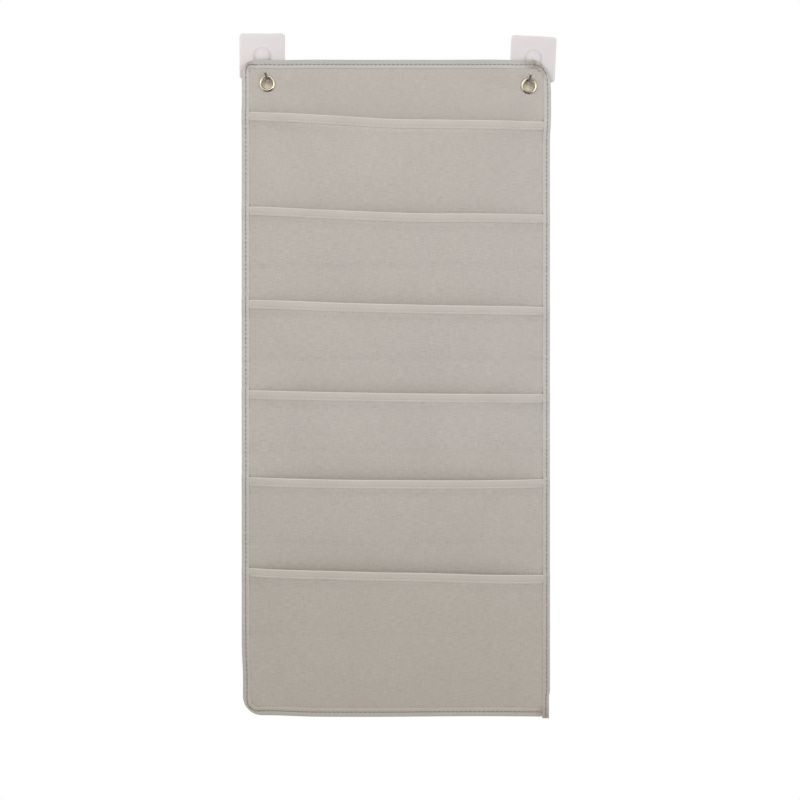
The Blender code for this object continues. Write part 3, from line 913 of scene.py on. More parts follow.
@dataclass(frozen=True)
class TapeFinish(Finish):
    """Folded tape: fine ribs across it, small gathers at the stitches and a painted highlight along one
    edge.

    Each band is a pair of distances from the seam, or for the painted shade on the top run from the
    cloth's top down.
    """

    low_colour: Colour
    # brightening of the band at edge_at: a painted highlight
    edge_light: float = 1.0
    inner_tint: Colour = (1.0, 1.0, 1.0)
    rib_pitch: float = 0.0006
    gather_pitch: float = 0.0052
    gather_slant: float = 900.0
    gather_band: Pair = (0.0002, 0.0034)
    slub_scales: Pair = (420.0, 900.0)
    cloud_scale: float = 26.0
    seam_at: float = 0.0048
    seam_blur: float = 0.0002
    seam_band: Pair = (0.0003, 0.0010)
    seam_shade: float = 0.0
    low_seam_gain: float = 1.4
    # how much painted shade darkens the tape's top run
    dust: float = 0.0
    dust_band: Pair = (0.0068, 0.0040)
    edge_at: float = 0.0
    edge_width: float = 0.0010
    edge_full_share: float = 0.3
    slub_light: float = 0.26
    cloud_light: float = 0.16
    gather_light: float = 0.04
    rib_height: float = 0.12
    slub_height: float = 0.9
    gather_height: float = 1.6
    depth: float = 0.00012
    roughness: float = 0.82
    slub_roughness: float = 0.14
    stain_colour: Colour = (0.62, 0.54, 0.44)
    stains: tuple[Stain, ...] = ()

    def shade(self, surface: Surface) -> None:
        """Rib, gather, tint and stain the tape."""
        along, around = surface.cloth_place()
        ribs = sine(along * (2 * pi / self.rib_pitch))
        off_seam = magnitude(around - self.seam_at)
        near = 1.0 - ramp(off_seam, *self.gather_band)
        gather = sine(along * (2 * pi / self.gather_pitch) + off_seam * self.gather_slant)
        slub_x, slub_y = self.slub_scales
        slub = surface.noise(surface.vector(along * slub_x, around * slub_y), 1.0, 3.0, 0.6)
        cloud = surface.noise(surface.object_place(), self.cloud_scale, 3.0)
        # painted highlight: the band at edge_at is lightened
        full = self.edge_width * self.edge_full_share
        edge = 1.0 - ramp(magnitude(around - self.edge_at), full, self.edge_width)
        inner = 1.0 - ramp(around, self.seam_at - self.seam_blur, self.seam_at + self.seam_blur)
        tint = surface.mix(inner, (1.0, 1.0, 1.0), self.inner_tint)
        for stain in self.stains:
            tint = surface.mix(stain.share(surface), tint, self.stain_colour)
        tone = surface.product(surface.worn(self.colour, self.low_colour), tint)
        light = (1.0 + (slub - 0.5) * self.slub_light + (cloud - 0.5) * self.cloud_light
                 + gather * near * self.gather_light)
        gain = self.low_seam_gain
        loss = self.seam_shade * (1.0 + gain - gain * surface.upper_share())
        light = light - (1.0 - ramp(off_seam, *self.seam_band)) * loss
        light = light * (1.0 + edge * (self.edge_light - 1.0))
        # painted shade: the tape's top run darkens towards the cloth's top
        if self.dust:
            _, _, height = surface.split(surface.object_place())
            low, high = (CLOTH.top - down for down in self.dust_band)
            light = light - ramp(height, low, high) * self.dust
        relief = ribs * self.rib_height + slub * self.slub_height + gather * near * self.gather_height
        surface.set(Base_Color=surface.tinted(tone, light),
                    Roughness=self.roughness + (slub - 0.5) * self.slub_roughness,
                    Sheen_Weight=0.12, Sheen_Roughness=0.5, IOR=CLOTH_IOR,
                    Specular_IOR_Level=CLOTH_SPECULAR, Normal=surface.bump(relief, self.depth))


@dataclass(frozen=True)
class ThreadFinish(Finish):
    """Twisted sewing thread."""

    roughness: float = 0.6
    fleck_scale: float = 900.0
    fleck_light: float = 0.35
    twist_scale: float = 2600.0
    twist_stretch: Point = (1.0, 1.0, 2.4)
    depth: float = 0.00008

    def shade(self, surface: Surface) -> None:
        """Fleck and twist the thread."""
        place = surface.object_place()
        fleck = surface.noise(place, self.fleck_scale)
        twist = surface.noise(surface.product(place, self.twist_stretch), self.twist_scale, 1.0)
        light = 1.0 + (fleck - 0.5) * self.fleck_light
        surface.set(Base_Color=surface.shaded(self.colour, light), Roughness=self.roughness,
                    Sheen_Weight=0.1, Normal=surface.bump(twist, self.depth))


@dataclass(frozen=True)
class MetalFinish(Finish):
    """Turned or drawn metal with faint rubbing marks."""

    roughness: float
    rub_scale: float = 750.0
    rub_depth: float = 0.00002
    rub_roughness: float = 0.08
    tarnish_scale: float = 160.0
    tarnish_light: float = 0.12
    tarnish_roughness: float = 0.16

    def shade(self, surface: Surface) -> None:
        """Rub and tarnish the metal."""
        place = surface.object_place()
        rub = surface.noise(place, self.rub_scale, 3.0, 0.6)
        tarnish = surface.noise(place, self.tarnish_scale)
        light = 1.0 + (tarnish - 0.5) * self.tarnish_light
        surface.set(Base_Color=surface.shaded(self.colour, light), Metallic=1.0,
                    Roughness=(self.roughness + (tarnish - 0.5) * self.tarnish_roughness
                               + (rub - 0.5) * self.rub_roughness),
                    Normal=surface.bump(rub, self.rub_depth))


@dataclass(frozen=True)
class PlasticFinish(Finish):
    """Clear moulded plastic, a little milky, with fine handling marks."""

    transmission: float
    roughness: float
    ior: float = 1.47
    mist_scale: float = 60.0
    mist_light: float = 0.05
    mist_depth: float = 0.00006
    mark_scale: float = 300.0
    mark_stretch: Point = (1.0, 1.0, 3.0)
    mark_roughness: float = 0.12

    def shade(self, surface: Surface) -> None:
        """Mist and mark the plastic."""
        place = surface.object_place()
        mist = surface.noise(place, self.mist_scale, 3.0)
        marks = surface.noise(surface.product(place, self.mark_stretch), self.mark_scale, 3.0, 0.6)
        light = 1.0 + (mist - 0.5) * self.mist_light
        surface.set(Base_Color=surface.shaded(self.colour, light), Transmission_Weight=self.transmission,
                    IOR=self.ior, Roughness=self.roughness + (marks - 0.5) * self.mark_roughness,
                    Normal=surface.bump(mist, self.mist_depth))


@dataclass(frozen=True)
class PadFinish(Finish):
    """Soft adhesive film with small trapped bubbles."""

    bubble_scale: float = 420.0
    bubble_band: Pair = (0.05, 0.22)
    bubble_light: float = 0.05
    cloud_scale: float = 90.0
    cloud_light: float = 0.06
    cloud_height: float = 0.4
    roughness: float = 0.42
    bubble_roughness: float = 0.2
    depth: float = 0.00008

    def shade(self, surface: Surface) -> None:
        """Trap bubbles in the film."""
        place = surface.object_place()
        cells = surface.out(surface.node("ShaderNodeTexVoronoi", inputs={
            "Vector": place, "Scale": self.bubble_scale}), "Distance")
        bubble = 1.0 - ramp(cells, *self.bubble_band)
        cloud = surface.noise(place, self.cloud_scale, 3.0)
        light = 1.0 + (cloud - 0.5) * self.cloud_light + bubble * self.bubble_light
        surface.set(Base_Color=surface.shaded(self.colour, light),
                    Roughness=self.roughness + bubble * self.bubble_roughness,
                    Normal=surface.bump(bubble + cloud * self.cloud_height, self.depth))


class Finishes:
    """All materials of the organizer, made once."""

    def __init__(self) -> None:
        """Build every finish."""
        self.panel = WovenFinish("panel_cloth", (0.508, 0.460, 0.422), (0.436, 0.390, 0.334),
                                 yarn_light=0.40).make()
        self.sheer = WovenFinish("pocket_gauze", (0.735, 0.680, 0.630), (0.652, 0.587, 0.513),
                                 thread_pitch=0.0006, thread_depth=0.00008, yarn_light=0.20,
                                 opacity=0.45, sheen=0.0).make()
        # the hem's fold is lightened: a painted highlight
        self.hem = TapeFinish("hem_tape", (0.540, 0.495, 0.450), (0.476, 0.424, 0.368),
                              edge_light=1.28, gather_pitch=0.0036, seam_at=0.0020,
                              edge_at=0.0100).make()
        # the tape's inner edge is lightened: a painted highlight
        # the tape's top run is darkened: painted shade
        self.tape = TapeFinish("edge_tape", (0.535, 0.514, 0.488), (0.432, 0.398, 0.354),
                               edge_light=1.10, inner_tint=(1.0, 0.975, 0.965),
                               seam_at=0.0046, seam_shade=0.09, dust=0.11, edge_at=0.0006,
                               edge_width=0.0007, stains=self._stains()).make()
        # the seam thread's dark colour is partly its own and partly painted shade of its needle holes
        self.dark_thread = ThreadFinish("seam_thread", (0.205, 0.178, 0.152)).make()
        self.light_thread = ThreadFinish("hem_thread", (0.660, 0.620, 0.575)).make()
        self.eyelet = MetalFinish("eyelet_metal", (0.550, 0.485, 0.385), 0.18).make()
        self.steel = MetalFinish("hook_steel", (0.400, 0.382, 0.358), 0.24).make()
        self.plastic = PlasticFinish("milky_plastic", (0.800, 0.735, 0.740), 0.15, 0.46).make()
        self.pad = PadFinish("adhesive_film", (0.800, 0.735, 0.720)).make()

    @staticmethod
    def _stains() -> tuple[Stain, ...]:
        """Handling marks near the tape's corners."""
        half, top = CLOTH.half_width, CLOTH.top
        return (Stain(half - 0.010, top - 0.009, 0.019, 0.75),
                Stain(half - 0.022, top - 0.004, 0.012, 0.45),
                Stain(-half + 0.007, top - 0.006, 0.008, 0.70),
                Stain(half - 0.006, CLOTH.bottom + 0.006, 0.012, 0.45))


# geometry node trees


class GrownForm(Graph):
    """A geometry node tree with named inputs, and the pieces that are grown from it."""

    def __init__(self, name: str) -> None:
        """Make an empty tree with a geometry input and output."""
        super().__init__(bpy.data.node_groups.new(name, "GeometryNodeTree"))
        self.tree.interface.new_socket(name="Geometry", in_out="INPUT",
                                       socket_type="NodeSocketGeometry")
        self.tree.interface.new_socket(name="Geometry", in_out="OUTPUT",
                                       socket_type="NodeSocketGeometry")
        self.entry = self.tree.nodes.new("NodeGroupInput")
        self.keys: dict[str, str] = {}

    def input(self, name: str, kind: str = "Float") -> Term:
        """Add a named input.

        Args:
            name: The input's name.
            kind: The socket's kind, such as Float, Int or Material.

        Returns:
            The input inside the tree.
        """
        item = self.tree.interface.new_socket(name=name, in_out="INPUT",
                                              socket_type="NodeSocket" + kind)
        self.keys[name] = item.identifier
        return Term(self, self.entry.outputs[name])

    def finish(self, geometry: Term, material: Term) -> None:
        """End the tree: make instances real, shade smooth and set the material."""
        real = self.node("GeometryNodeRealizeInstances", inputs={"Geometry": geometry})
        smooth = self.node("GeometryNodeSetShadeSmooth", inputs={"Geometry": self.out(real)})
        dressed = self.node("GeometryNodeSetMaterial", inputs={
            "Geometry": self.out(smooth), "Material": material})
        self.node("NodeGroupOutput", inputs={"Geometry": self.out(dressed)})

    def grow(self, name: str, values: dict[str, object],
             data: bpy.types.Mesh | None = None) -> Piece:
        """Put the tree on a new object with its inputs set.

        Args:
            name: The object's name.
            values: Values of the named inputs.
            data: The mesh that the tree starts from, where it needs one.

        Returns:
            The object, its modifier live.
        """
        item = link(name, data or bpy.data.meshes.new(name))
        modifier = item.modifiers.new("form", "NODES")
        modifier.node_group = self.tree
        for key, value in values.items():
            modifier[self.keys[key]] = value
        return item


class SheetForm(GrownForm):
    """Tree that hangs a rectangular grid by a rule written on terms."""

    @staticmethod
    def spread(share: Term, z: Term) -> Term:
        """Place across the cut cloth for a share of the way between its own two edges."""
        left = CLOTH.edge_x(Side.LEFT, z, CLOTH.edge_inset)
        right = CLOTH.edge_x(Side.RIGHT, z, CLOTH.edge_inset)
        return left + share * (right - left)

    def hang(self, columns: Term, rows: Term, material: Term,
             rule: Callable[[Term, Term], tuple[Term, Term, Term]]) -> None:
        """Build the sheet.

        Args:
            columns: Number of points across.
            rows: Number of points upwards.
            material: The sheet's material.
            rule: Gives (place across, height, forward) on the cut cloth for shares across and up.
        """
        flat = self.node("GeometryNodeMeshGrid", inputs={
            "Size X": 1.0, "Size Y": 1.0, "Vertices X": columns, "Vertices Y": rows})
        share_x, share_y, _ = self.split(self.out(self.node("GeometryNodeInputPosition")))
        x, z, forward = rule(share_x + 0.5, share_y + 0.5)
        stored = self.node("GeometryNodeStoreNamedAttribute",
                           {"data_type": "FLOAT2", "domain": "CORNER"},
                           {"Geometry": self.out(flat, "Mesh"), "Name": CLOTH_MAP,
                            "Value": self.vector(x, z)})
        hung_x, hung_z = CLOTH.drift(x, z)
        moved = self.node("GeometryNodeSetPosition", inputs={
            "Geometry": self.out(stored), "Position": self.vector(hung_x, -forward, hung_z)})
        self.finish(self.out(moved), material)


class StitchForm(GrownForm):
    """Tree that sets one thread loop after another along a path."""

    ARC_STEPS = 4
    SECTION_STEPS = 6
    CROWN = 1.6
    LENGTH_SHARES = (0.88, 1.08)
    LENGTH_SEED_STEP = 7

    def __init__(self) -> None:
        """Build the tree: resample the path, lay a bent thread at each point."""
        super().__init__("stitch_row")
        pitch = self.input("Pitch")
        length = self.input("Length")
        rise = self.input("Rise")
        thread = self.input("Thread Radius")
        turn = self.input("Most Turn")
        seed = self.input("Seed", "Int")
        material = self.input("Material", "Material")
        path = self.node("GeometryNodeMeshToCurve", inputs={"Mesh": Term(self, self.entry.outputs[0])})
        points = self.node("GeometryNodeResampleCurve", {"mode": "LENGTH"}, {
            "Curve": self.out(path), "Length": pitch})
        arc = self.node("GeometryNodeCurveQuadraticBezier", inputs={
            "Resolution": self.ARC_STEPS, "Start": self.vector(length * -0.5, 0.0, rise * -0.5),
            "Middle": self.vector(0.0, 0.0, rise * self.CROWN),
            "End": self.vector(length * 0.5, 0.0, rise * -0.5)})
        section = self.node("GeometryNodeCurvePrimitiveCircle", inputs={
            "Resolution": self.SECTION_STEPS, "Radius": thread})
        stitch = self.node("GeometryNodeCurveToMesh", inputs={
            "Curve": self.out(arc), "Profile Curve": self.out(section, "Curve"),
            "Fill Caps": True})
        facing = self.node("GeometryNodeInputNamedAttribute", {"data_type": "FLOAT_VECTOR"},
                           {"Name": FACING})
        lie = self.node("FunctionNodeAxesToRotation", {"primary_axis": "X", "secondary_axis": "Z"}, {
            "Primary Axis": self.out(self.node("GeometryNodeInputTangent")),
            "Secondary Axis": self.out(facing, "Attribute")})
        askew = self._random(-1.0, 1.0, seed) * turn
        spun = self.node("FunctionNodeAxisAngleToRotation", inputs={
            "Axis": (0.0, 0.0, 1.0), "Angle": askew})
        rotation = self.node("FunctionNodeRotateRotation", {"rotation_space": "LOCAL"}, {
            "Rotation": self.out(lie), "Rotate By": self.out(spun)})
        share = self._random(*self.LENGTH_SHARES, seed + self.LENGTH_SEED_STEP)
        scale = self.vector(share, 1.0, 1.0)
        laid = self.node("GeometryNodeInstanceOnPoints", inputs={
            "Points": self.out(points), "Instance": self.out(stitch),
            "Rotation": self.out(rotation), "Scale": scale})
        self.finish(self.out(laid), material)

    def _random(self, low: float, high: float, seed: Term) -> Term:
        """A random number for each stitch."""
        node = self.tree.nodes.new("FunctionNodeRandomValue")
        node.data_type = "FLOAT"
        for socket in node.inputs:
            if socket.enabled and socket.name in ("Min", "Max", "Seed"):
                self.put(socket, {"Min": low, "Max": high, "Seed": seed}[socket.name])
        return Term(self, next(socket for socket in node.outputs if socket.enabled))


@dataclass(frozen=True)
class StitchRow:
    """Sizes of one kind of stitching."""

    pitch: float
    length: float
    rise: float = 0.00022
    thread_radius: float = 0.00022
    most_turn: float = 0.10

    def sew(self, form: StitchForm, name: str, paths: Sequence[Sequence[tuple[Vector, Vector]]],
            material: bpy.types.Material, seed: int) -> Piece:
        """Sew along paths.

        Args:
            form: The tree that lays the thread.
            name: Name of the finished piece.
            paths: Runs of (point, direction out of the cloth).
            material: The thread's material.
            seed: Seed of the small unevenness.

        Returns:
            The stitches as one plain mesh.
        """
        points, edges, facing = [], [], []
        for path in paths:
            base = len(points)
            points += [tuple(point) for point, _ in path]
            facing += [value for _, out in path for value in out]
            edges += [(base + index, base + index + 1) for index in range(len(path) - 1)]
        data = bpy.data.meshes.new(name)
        data.from_pydata(points, edges, [])
        data.attributes.new(FACING, "FLOAT_VECTOR", "POINT").data.foreach_set("vector", facing)
        item = form.grow(name, {"Pitch": self.pitch, "Length": self.length, "Rise": self.rise,
                                "Thread Radius": self.thread_radius, "Most Turn": self.most_turn,
                                "Seed": seed, "Material": material}, data)
        return settle(item)


# the cloth's sub-assemblies


def sewn_run(forward: Callable[[float, float], float], offset: float,
             line: Sequence[Pair]) -> list[tuple[Vector, Vector]]:
    """Lay a line of stitches on one face of a hanging layer.

    Args:
        forward: Gives how far forward the layer's middle hangs at a place on the cut cloth.
        offset: Distance from the middle to the face, below 0 for the back.
        line: Places on the cut cloth.

    Returns:
        For each place, the point and the direction out of the cloth.
    """
    def place(x: float, z: float) -> Vector:
        """Point of the face."""
        return Vector(CLOTH.place(x, z, forward(x, z) + offset))

    run = []
    for x, z in line:
        right = place(x + FACING_STEP, z) - place(x - FACING_STEP, z)
        up = place(x, z + FACING_STEP) - place(x, z - FACING_STEP)
        out = right.cross(up).normalized()
        run.append((place(x, z), -out if offset < 0.0 else out))
    return run


@dataclass
class BackPanel:
    """The backing cloth with its two punched holes."""

    columns: int = 110
    rows: int = 230
    hole_radius: float = 0.00645
    hole_steps: int = 64
    punch_reach: float = 0.003

    def build(self, finishes: Finishes) -> Piece:
        """Make the panel.

        Args:
            finishes: The materials.

        Returns:
            The finished piece.
        """
        form = SheetForm("hanging_panel")
        columns, rows = form.input("Columns", "Int"), form.input("Rows", "Int")
        inset, material = form.input("Edge Inset"), form.input("Material", "Material")

        def rule(share_x: Term, share_y: Term) -> tuple[Term, Term, Term]:
            """Place on the cut panel and how far forward it hangs."""
            low, high = CLOTH.bottom + inset, CLOTH.top - inset
            z = low + share_y * (high - low)
            x = form.spread(share_x, z)
            return x, z, CLOTH.panel_forward(x, z)

        form.hang(columns, rows, material, rule)
        item = form.grow("panel", {"Columns": self.columns, "Rows": self.rows,
                                   "Edge Inset": CLOTH.edge_inset, "Material": finishes.panel})
        thicken(item, CLOTH.panel_thickness)
        punches = [self._punch(number) for number in range(len(CLOTH.eyelets))]
        for punch in punches:
            combine(item, punch, "DIFFERENCE")
        item = settle(item)
        for punch in punches:
            bpy.data.objects.remove(punch)
        return hand_over(item, CLOTH_BODY, "panel_cloth", "back_panel")

    def _punch(self, number: int) -> Piece:
        """Cutter for one hole."""
        x, z = CLOTH.eyelets[number]
        radius, reach = self.hole_radius, self.punch_reach
        profile = [(0.0, -reach), (radius, -reach), (radius, reach), (0.0, reach)]
        punch = turned("punch_{}".format(number), profile, self.hole_steps, closed=False)
        punch.location = (x, -CLOTH.hang_forward, z)
        return punch


def thicken(item: Piece, thickness: float) -> None:
    """Give an open sheet its thickness, half to each side."""
    modifier = item.modifiers.new("thickness", "SOLIDIFY")
    modifier.thickness = thickness
    modifier.offset = 0.0
    modifier.use_even_offset = True


class PocketForm(SheetForm):
    """Tree of one sheer pocket front; its inputs are the pocket's plan."""

    def __init__(self) -> None:
        """Build the tree with one input for each field of the plan."""
        super().__init__("hanging_pocket")
        columns, rows = self.input("Columns", "Int"), self.input("Rows", "Int")
        material = self.input("Material", "Material")
        plan = PocketPlan(**{name: self.input(title) for name, title in self.titles().items()})

        def rule(share_x: Term, share_y: Term) -> tuple[Term, Term, Term]:
            """Place on the cut pocket and how far forward it hangs."""
            over = plan.mouth_at(share_x * 2.0 - 1.0) - (CLOTH.hem_thickness + CLOTH.gap)
            z = plan.bottom + share_y * (over - plan.bottom)
            x = self.spread(share_x, z)
            return x, z, CLOTH.pocket_forward(plan, x, z)

        self.hang(columns, rows, material, rule)

    @staticmethod
    def titles() -> dict[str, str]:
        """Input names of the plan's fields."""
        return {name: name.replace("_", " ").title() for name in PocketPlan.__dataclass_fields__}


@dataclass
class SheerPocket:
    """One pocket: its sheer front, the tape folded over its mouth and its stitching."""

    index: int
    columns: int = 112
    rows: int = 96
    hem_steps: int = 240
    drops: tuple[float, ...] = (0.0097, 0.0092, 0.0086, 0.0082, 0.0080, 0.0078, 0.0073, 0.0066,
                                0.0058, 0.0048, 0.0034, 0.0020)
    fold_radius: float = 0.0009
    fold_steps: int = 6
    root_gap: float = 0.00006
    lip: float = 0.0001
    groove_at: float = 0.0083
    groove_reach: float = 0.0007
    groove_depth: float = 0.00008
    puff: float = 0.00012
    press: float = 0.00034
    press_run: float = 0.0030
    sew_inset: float = 0.001
    sew_steps: int = 120
    seam_share: float = 0.6
    hem_seed: int = 11
    seam_seed: int = 31
    hem_row: StitchRow = StitchRow(0.0036, 0.0034, rise=0.00012, thread_radius=0.00030, most_turn=0.04)
    seam_row: StitchRow = StitchRow(0.0040, 0.0027, most_turn=0.05)

    @property
    def number(self) -> int:
        """The pocket's number, counted from the top."""
        return CLOTH.pocket_count - self.index

    @property
    def plan(self) -> PocketPlan:
        """The pocket's plan."""
        return CLOTH.plan(self.index)

    def build(self, form: PocketForm, stitches: StitchForm, finishes: Finishes,
              panel: Piece) -> list[Piece]:
        """Make the pocket's pieces.

        Args:
            form: The tree of the sheer front.
            stitches: The tree that lays the thread.
            finishes: The materials.
            panel: Not used.

        Returns:
            The finished pieces.
        """
        title = "pocket_{}".format(self.number)
        front = self._front(form, finishes)
        hem = self._hem(finishes)
        thread = self._thread(stitches, finishes)
        hand_over(front, CLOTH_BODY, "pocket_mesh", title)
        hand_over(hem, CLOTH_BODY, "binding_tape", title + "_hem")
        hand_over(thread, CLOTH_BODY, "binding_tape")
        return [front, hem, thread]

    def _front(self, form: PocketForm, finishes: Finishes) -> Piece:
        """Grow the sheer front from the pocket's plan."""
        values: dict[str, object] = {"Columns": self.columns, "Rows": self.rows,
                                     "Material": finishes.sheer}
        for name, title in form.titles().items():
            values[title] = float(getattr(self.plan, name))
        item = form.grow("front_{}".format(self.number), values)
        thicken(item, CLOTH.mesh_thickness)
        return settle(item)

    def _outer(self, drop: float) -> float:
        """Outer face of a hem wall some way below its fold, pressed flat where it is sewn."""
        pressed = ease(ramp(drop, self.groove_at - self.press_run, self.groove_at))
        groove = max(1.0 - abs(drop - self.groove_at) / self.groove_reach, 0.0)
        puff = sin(pi * min(drop / self.groove_at, 1.0))
        return (CLOTH.hem_half_depth + self.puff * puff - self.press * pressed
                - self.groove_depth * groove)

    def _section(self) -> list[Pair]:
        """Section of the hem, as (height from the mouth, forward of the pocket's cloth)."""
        inner, low = CLOTH.hem_half_gap, CLOTH.hem_width
        front = [(-low, CLOTH.mesh_thickness / 2 + self.root_gap),
                 (-low, self._outer(low) - self.lip)]
        front += [(-drop, self._outer(drop)) for drop in self.drops]
        front += ellipse_arc((-self.fold_radius, 0.0), self.fold_radius, CLOTH.hem_half_depth,
                             90.0, 0.0, self.fold_steps)
        back = [(height, -offset) for height, offset in reversed(front[:-1])]
        top = -CLOTH.hem_thickness
        return front + back + [(top, -inner), (top, inner)]

    def _hem(self, finishes: Finishes) -> Piece:
        """Loft the tape along the mouth."""
        section = self._section()
        plan = self.plan
        left = CLOTH.edge_x(Side.LEFT, plan.mouth, CLOTH.edge_inset)
        right = CLOTH.edge_x(Side.RIGHT, plan.mouth, CLOTH.edge_inset)
        places = even_places(left, right, self.hem_steps)
        rings = []
        for x in places:
            mouth = plan.mouth_at(CLOTH.across(x, plan.mouth))
            rings.append([CLOTH.place(x, mouth + height,
                                      CLOTH.pocket_forward(plan, x, mouth + height) + offset)
                          for height, offset in section])
        shape = Shape()
        shape.loft(rings, places, lengths_round(section))
        item = shape.to_object("front_{}_hem".format(self.number))
        dress(item, finishes.hem)
        return item

    def _thread(self, form: StitchForm, finishes: Finishes) -> Piece:
        """Sew the hem, front and back, and the pocket's lower edge to the panel."""
        plan = self.plan
        reach = CLOTH.half_width - CLOTH.tape_width - self.sew_inset
        steps = even_places(-reach, reach, self.sew_steps)

        def pocket(x: float, z: float) -> float:
            """How far forward the pocket's cloth hangs."""
            return CLOTH.pocket_forward(plan, x, z)

        depth = self._outer(self.groove_at)
        line = [(x, plan.mouth_at(CLOTH.across(x, plan.mouth)) - self.groove_at) for x in steps]
        paths = [sewn_run(pocket, depth, line), sewn_run(pocket, -depth, line)]
        hem = self.hem_row.sew(form, "front_{}_thread".format(self.number), paths,
                               finishes.light_thread, self.hem_seed + self.index)
        if self.index == 0:
            return hem
        line = [(x, plan.bottom + CLOTH.seam_strip * self.seam_share) for x in steps]
        paths = [sewn_run(pocket, CLOTH.mesh_thickness / 2, line),
                 sewn_run(CLOTH.panel_forward, -CLOTH.panel_thickness / 2, line)]
        return joined(hem, self.seam_row.sew(form, "seam", paths, finishes.light_thread,
                                             self.seam_seed + self.index))


def joined(first: Piece, second: Piece) -> Piece:
    """Put the second mesh into the first, which keeps its name and its material."""
    shape = bmesh.new()
    shape.from_mesh(first.data)
    shape.from_mesh(second.data)
    shape.to_mesh(first.data)
    shape.free()
    bpy.data.objects.remove(second)
    return first


@dataclass(frozen=True)
class TapeStation:
    """One place on the outline of the cut cloth, where the tape's section stands."""

    x: float
    z: float
    inward: Pair
    side: Side
    gather: float
    along: float
    width_share: float
    seam_share: float


@dataclass(frozen=True)
class Waypoint:
    """One place on the outline before the widths of the tape are known."""

    x: float
    z: float
    inward: Pair
    gather: float = 0.0
    pinch: float = 0.0


@dataclass(frozen=True)
class SideShares:
    """A length along the outline, as shares of its plain value on the four sides."""

    left: float
    top: float
    right: float
    bottom: float

    def at(self, inward: Pair) -> float:
        """The share where the outline's inward direction is as given, blended round corners."""
        across = self.left if inward[0] > 0 else self.right
        up = self.bottom if inward[1] > 0 else self.top
        return across * inward[0] ** 2 + up * inward[1] ** 2


